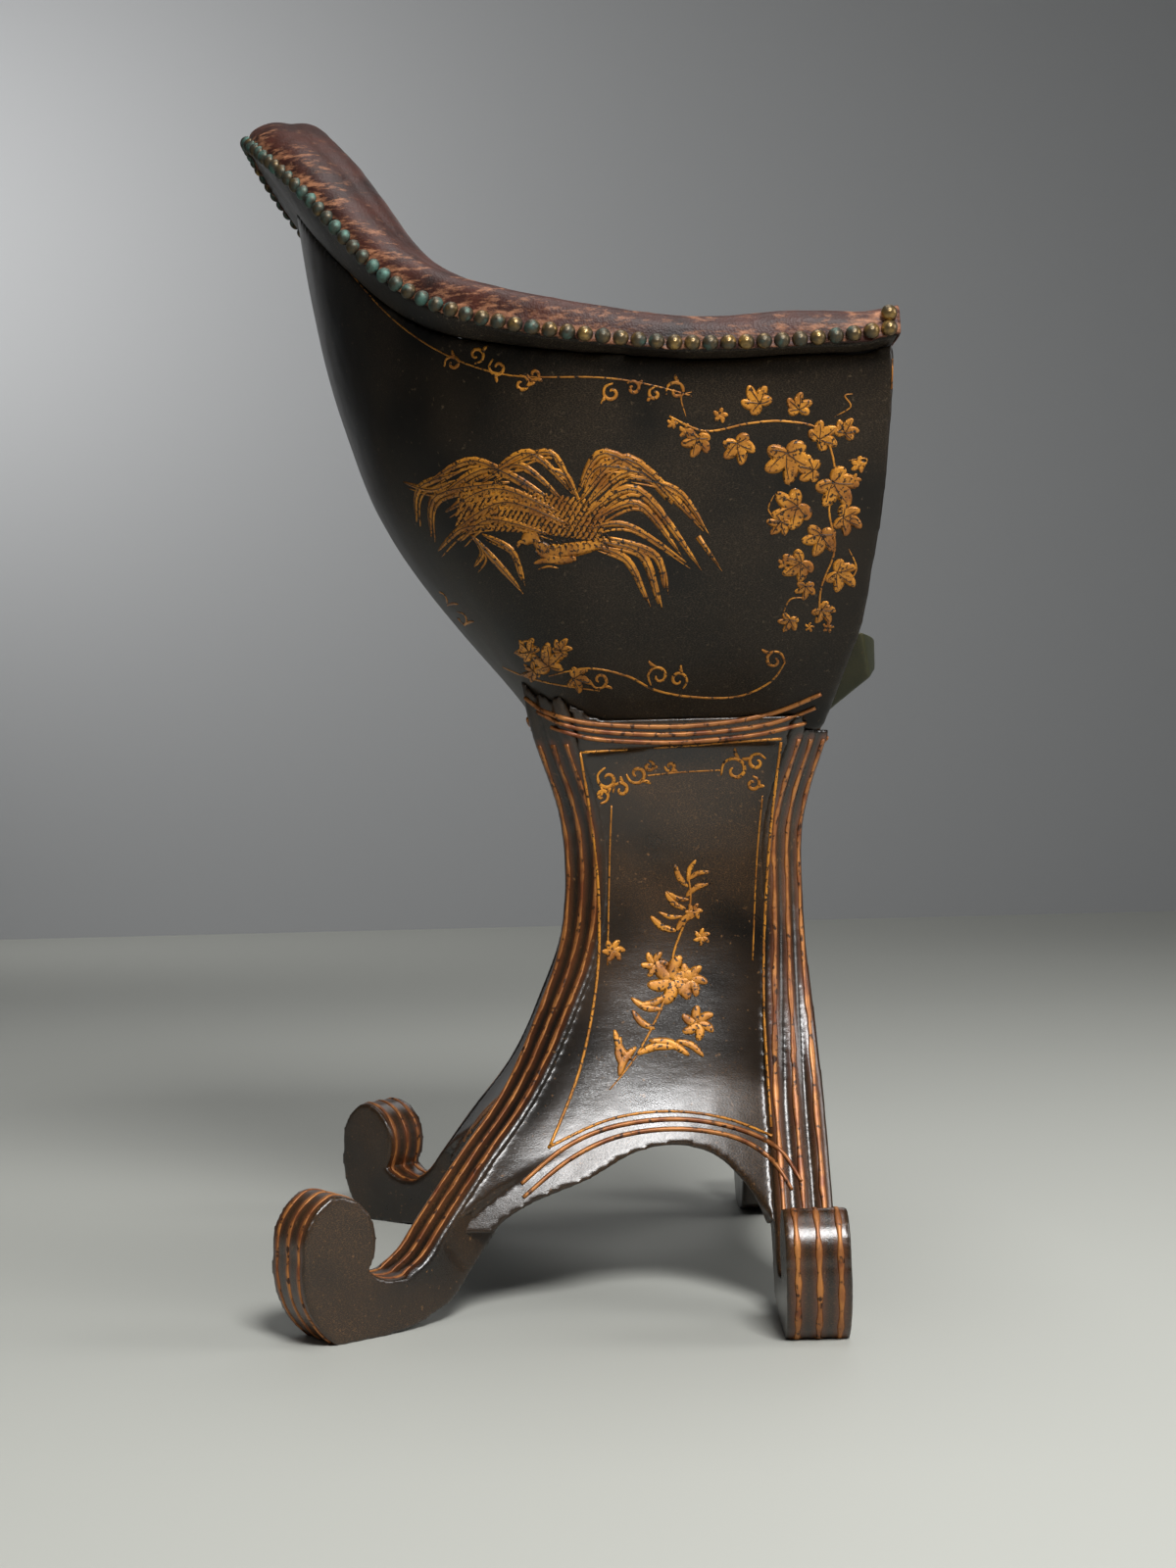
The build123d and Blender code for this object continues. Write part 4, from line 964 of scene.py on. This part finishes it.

# Ridges of the top moulding and of the arch, seen from the side, in copper-gold that is partly a
# painted highlight along their crests
ridge_width, ridge_height = 4.2, 2.2 * mm
side_ridges = [
    [(536, 712), (560, 728), (610, 739), (700, 741), (780, 730), (838, 708)],
    [(548, 726), (580, 741), (630, 748), (700, 749), (780, 740), (832, 722)],
    [(562, 742), (600, 753), (650, 757), (700, 757), (770, 750), (822, 738)],
    [(532, 1208), (575, 1172), (625, 1150), (690, 1142), (750, 1151), (794, 1172), (818, 1206)],
    [(534, 1222), (580, 1184), (630, 1160), (690, 1152), (748, 1160), (786, 1182), (808, 1214)],
]
ridges = Relief()
for ridge in side_ridges:
    ridges.stroke(ridge, ridge_width, height=ridge_height, taper=0.15, steps=10)

# Gilding on the reeds' crests, partly a painted highlight along each crest: its width in
# millimetres comes and goes along each reed
gilding_width, gilding_change, gilding_beat, gilding_shift = 4.2, 1.1, 0.9, 500
gilding_height = 0.9 * mm
crest_gilding_and_highlight = Relief()
for end, sizes in leg_sizes.items():
    leg_surface = surface_of([legs[f"leg_{end}_right"]])
    for offset in reed_offsets:
        places, widths = [], []
        for point in smooth_path(reed_path(*sizes, offset), path_steps):
            place, normal, _, _ = leg_surface.find_nearest(Vector(point))
            places.append((place, normal))
            change = sin(len(places) * gilding_beat + offset * gilding_shift)
            widths.append((gilding_width + gilding_change * change) * mm)
        crest_gilding_and_highlight.band(places, widths, gilding_height)
crest_gilding_and_highlight.finish("reed_gilding_and_highlight", ridge_gilt_and_highlight)
ridges.finish("side_ridges", ridge_gilt_and_highlight)


half_steps = 14


def end_ridges(name, x_start, facing, ridge_lines):
    """Sagging ridges over the panel and arched ones below it, on the front or the back."""
    relief = Relief()
    for end_height, middle_height, half_width, power in ridge_lines:
        places, widths = [], []
        for step in range(-half_steps, half_steps + 1):
            share = step / half_steps
            height = middle_height + (end_height - middle_height) * abs(share) ** power
            origin = Vector((x_start, share * half_width, height))
            place, normal, _, _ = carved_wood.ray_cast(origin, Vector((facing, 0, 0)))
            if place is not None:
                places.append((place, normal))
                widths.append(ridge_width * mm)
        relief.band(places, widths, ridge_height)
    relief.finish(name, ridge_gilt_and_highlight, both_sides=False)


# Each ridge: its height at the ends and in the middle, its half width and its bow's power
arch_lines = [(0.076, 0.134, 0.104, 2.6), (0.068, 0.126, 0.104, 2.6)]
end_ridges("front_ridges", x_start=0.4, facing=-1,
           ridge_lines=[(0.418, 0.412, 0.082, 2), *arch_lines])
end_ridges("back_ridges", x_start=-0.4, facing=1,
           ridge_lines=[(0.438, 0.430, 0.082, 2), (0.430, 0.422, 0.082, 2), *arch_lines])

# Floor, wall, lamps and the photograph's camera
room_size, wall_distance = 14, 4.2
bpy.ops.mesh.primitive_plane_add(size=room_size, location=(0, 0, 0))
floor = bpy.context.object
floor.name = "studio_floor"
bpy.ops.mesh.primitive_plane_add(size=room_size, location=(0, wall_distance, room_size / 2),
                                 rotation=(radians(90), 0, 0))
wall = bpy.context.object
wall.name = "studio_wall"
for stage_piece, code in ((floor, "#b4b5ae"), (wall, "#8e8f90")):
    paint, _, shader, _ = new_material(f"{stage_piece.name}_paint", {"Roughness": 0.6})
    shader.inputs["Base Color"].default_value = colour(code)
    stage_piece.data.materials.append(paint)
    stage_piece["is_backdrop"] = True

world = bpy.data.worlds.new("studio")
bpy.context.scene.world = world
world.use_nodes = True
sky = world.node_tree.nodes["Background"]
sky.inputs["Color"].default_value = colour("#d8dce0")
sky.inputs["Strength"].default_value = 0.09

# Each lamp: its place, the point that it faces, its size in metres, its watts and its spread
chair_middle = (0, 0, 0.45)
lamps = {
    "key": ((0.6, -1.9, 2.3), chair_middle, 0.8, 84, 180),
    "side": ((2.3, -0.5, 1.2), chair_middle, 1.0, 20, 180),
    "top": ((0.1, 0.0, 2.8), chair_middle, 1.2, 22, 180),
    "back": ((0.8, 2.4, 2.0), chair_middle, 1.2, 6, 180),
    "wall_wash": ((-2.6, 2.2, 2.2), (-1.1, 4.2, 1.9), 1.2, 34, 110),
}
for lamp_name, (place, target, size, power, spread) in lamps.items():
    bpy.ops.object.light_add(type="AREA", location=place)
    lamp = bpy.context.object
    lamp.name = lamp_name
    lamp.data.size = size
    lamp.data.energy = power
    lamp.data.spread = radians(spread)
    lamp.rotation_euler = (Vector(target) - Vector(place)).to_track_quat("-Z", "Y").to_euler()

bpy.ops.object.camera_add(location=camera_place, rotation=(radians(90), camera_roll, 0))
camera = bpy.context.object
camera.data.sensor_fit = "VERTICAL"
camera.data.sensor_height = film_height_mm
camera.data.lens = focal_pixels / photo_height * film_height_mm
bpy.context.scene.camera = camera
bpy.context.scene.view_settings.view_transform = "Standard"

bpy.context.view_layer.update()
sizes = [[list(corner) for corner in cad_box], [list(corner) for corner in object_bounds()]]
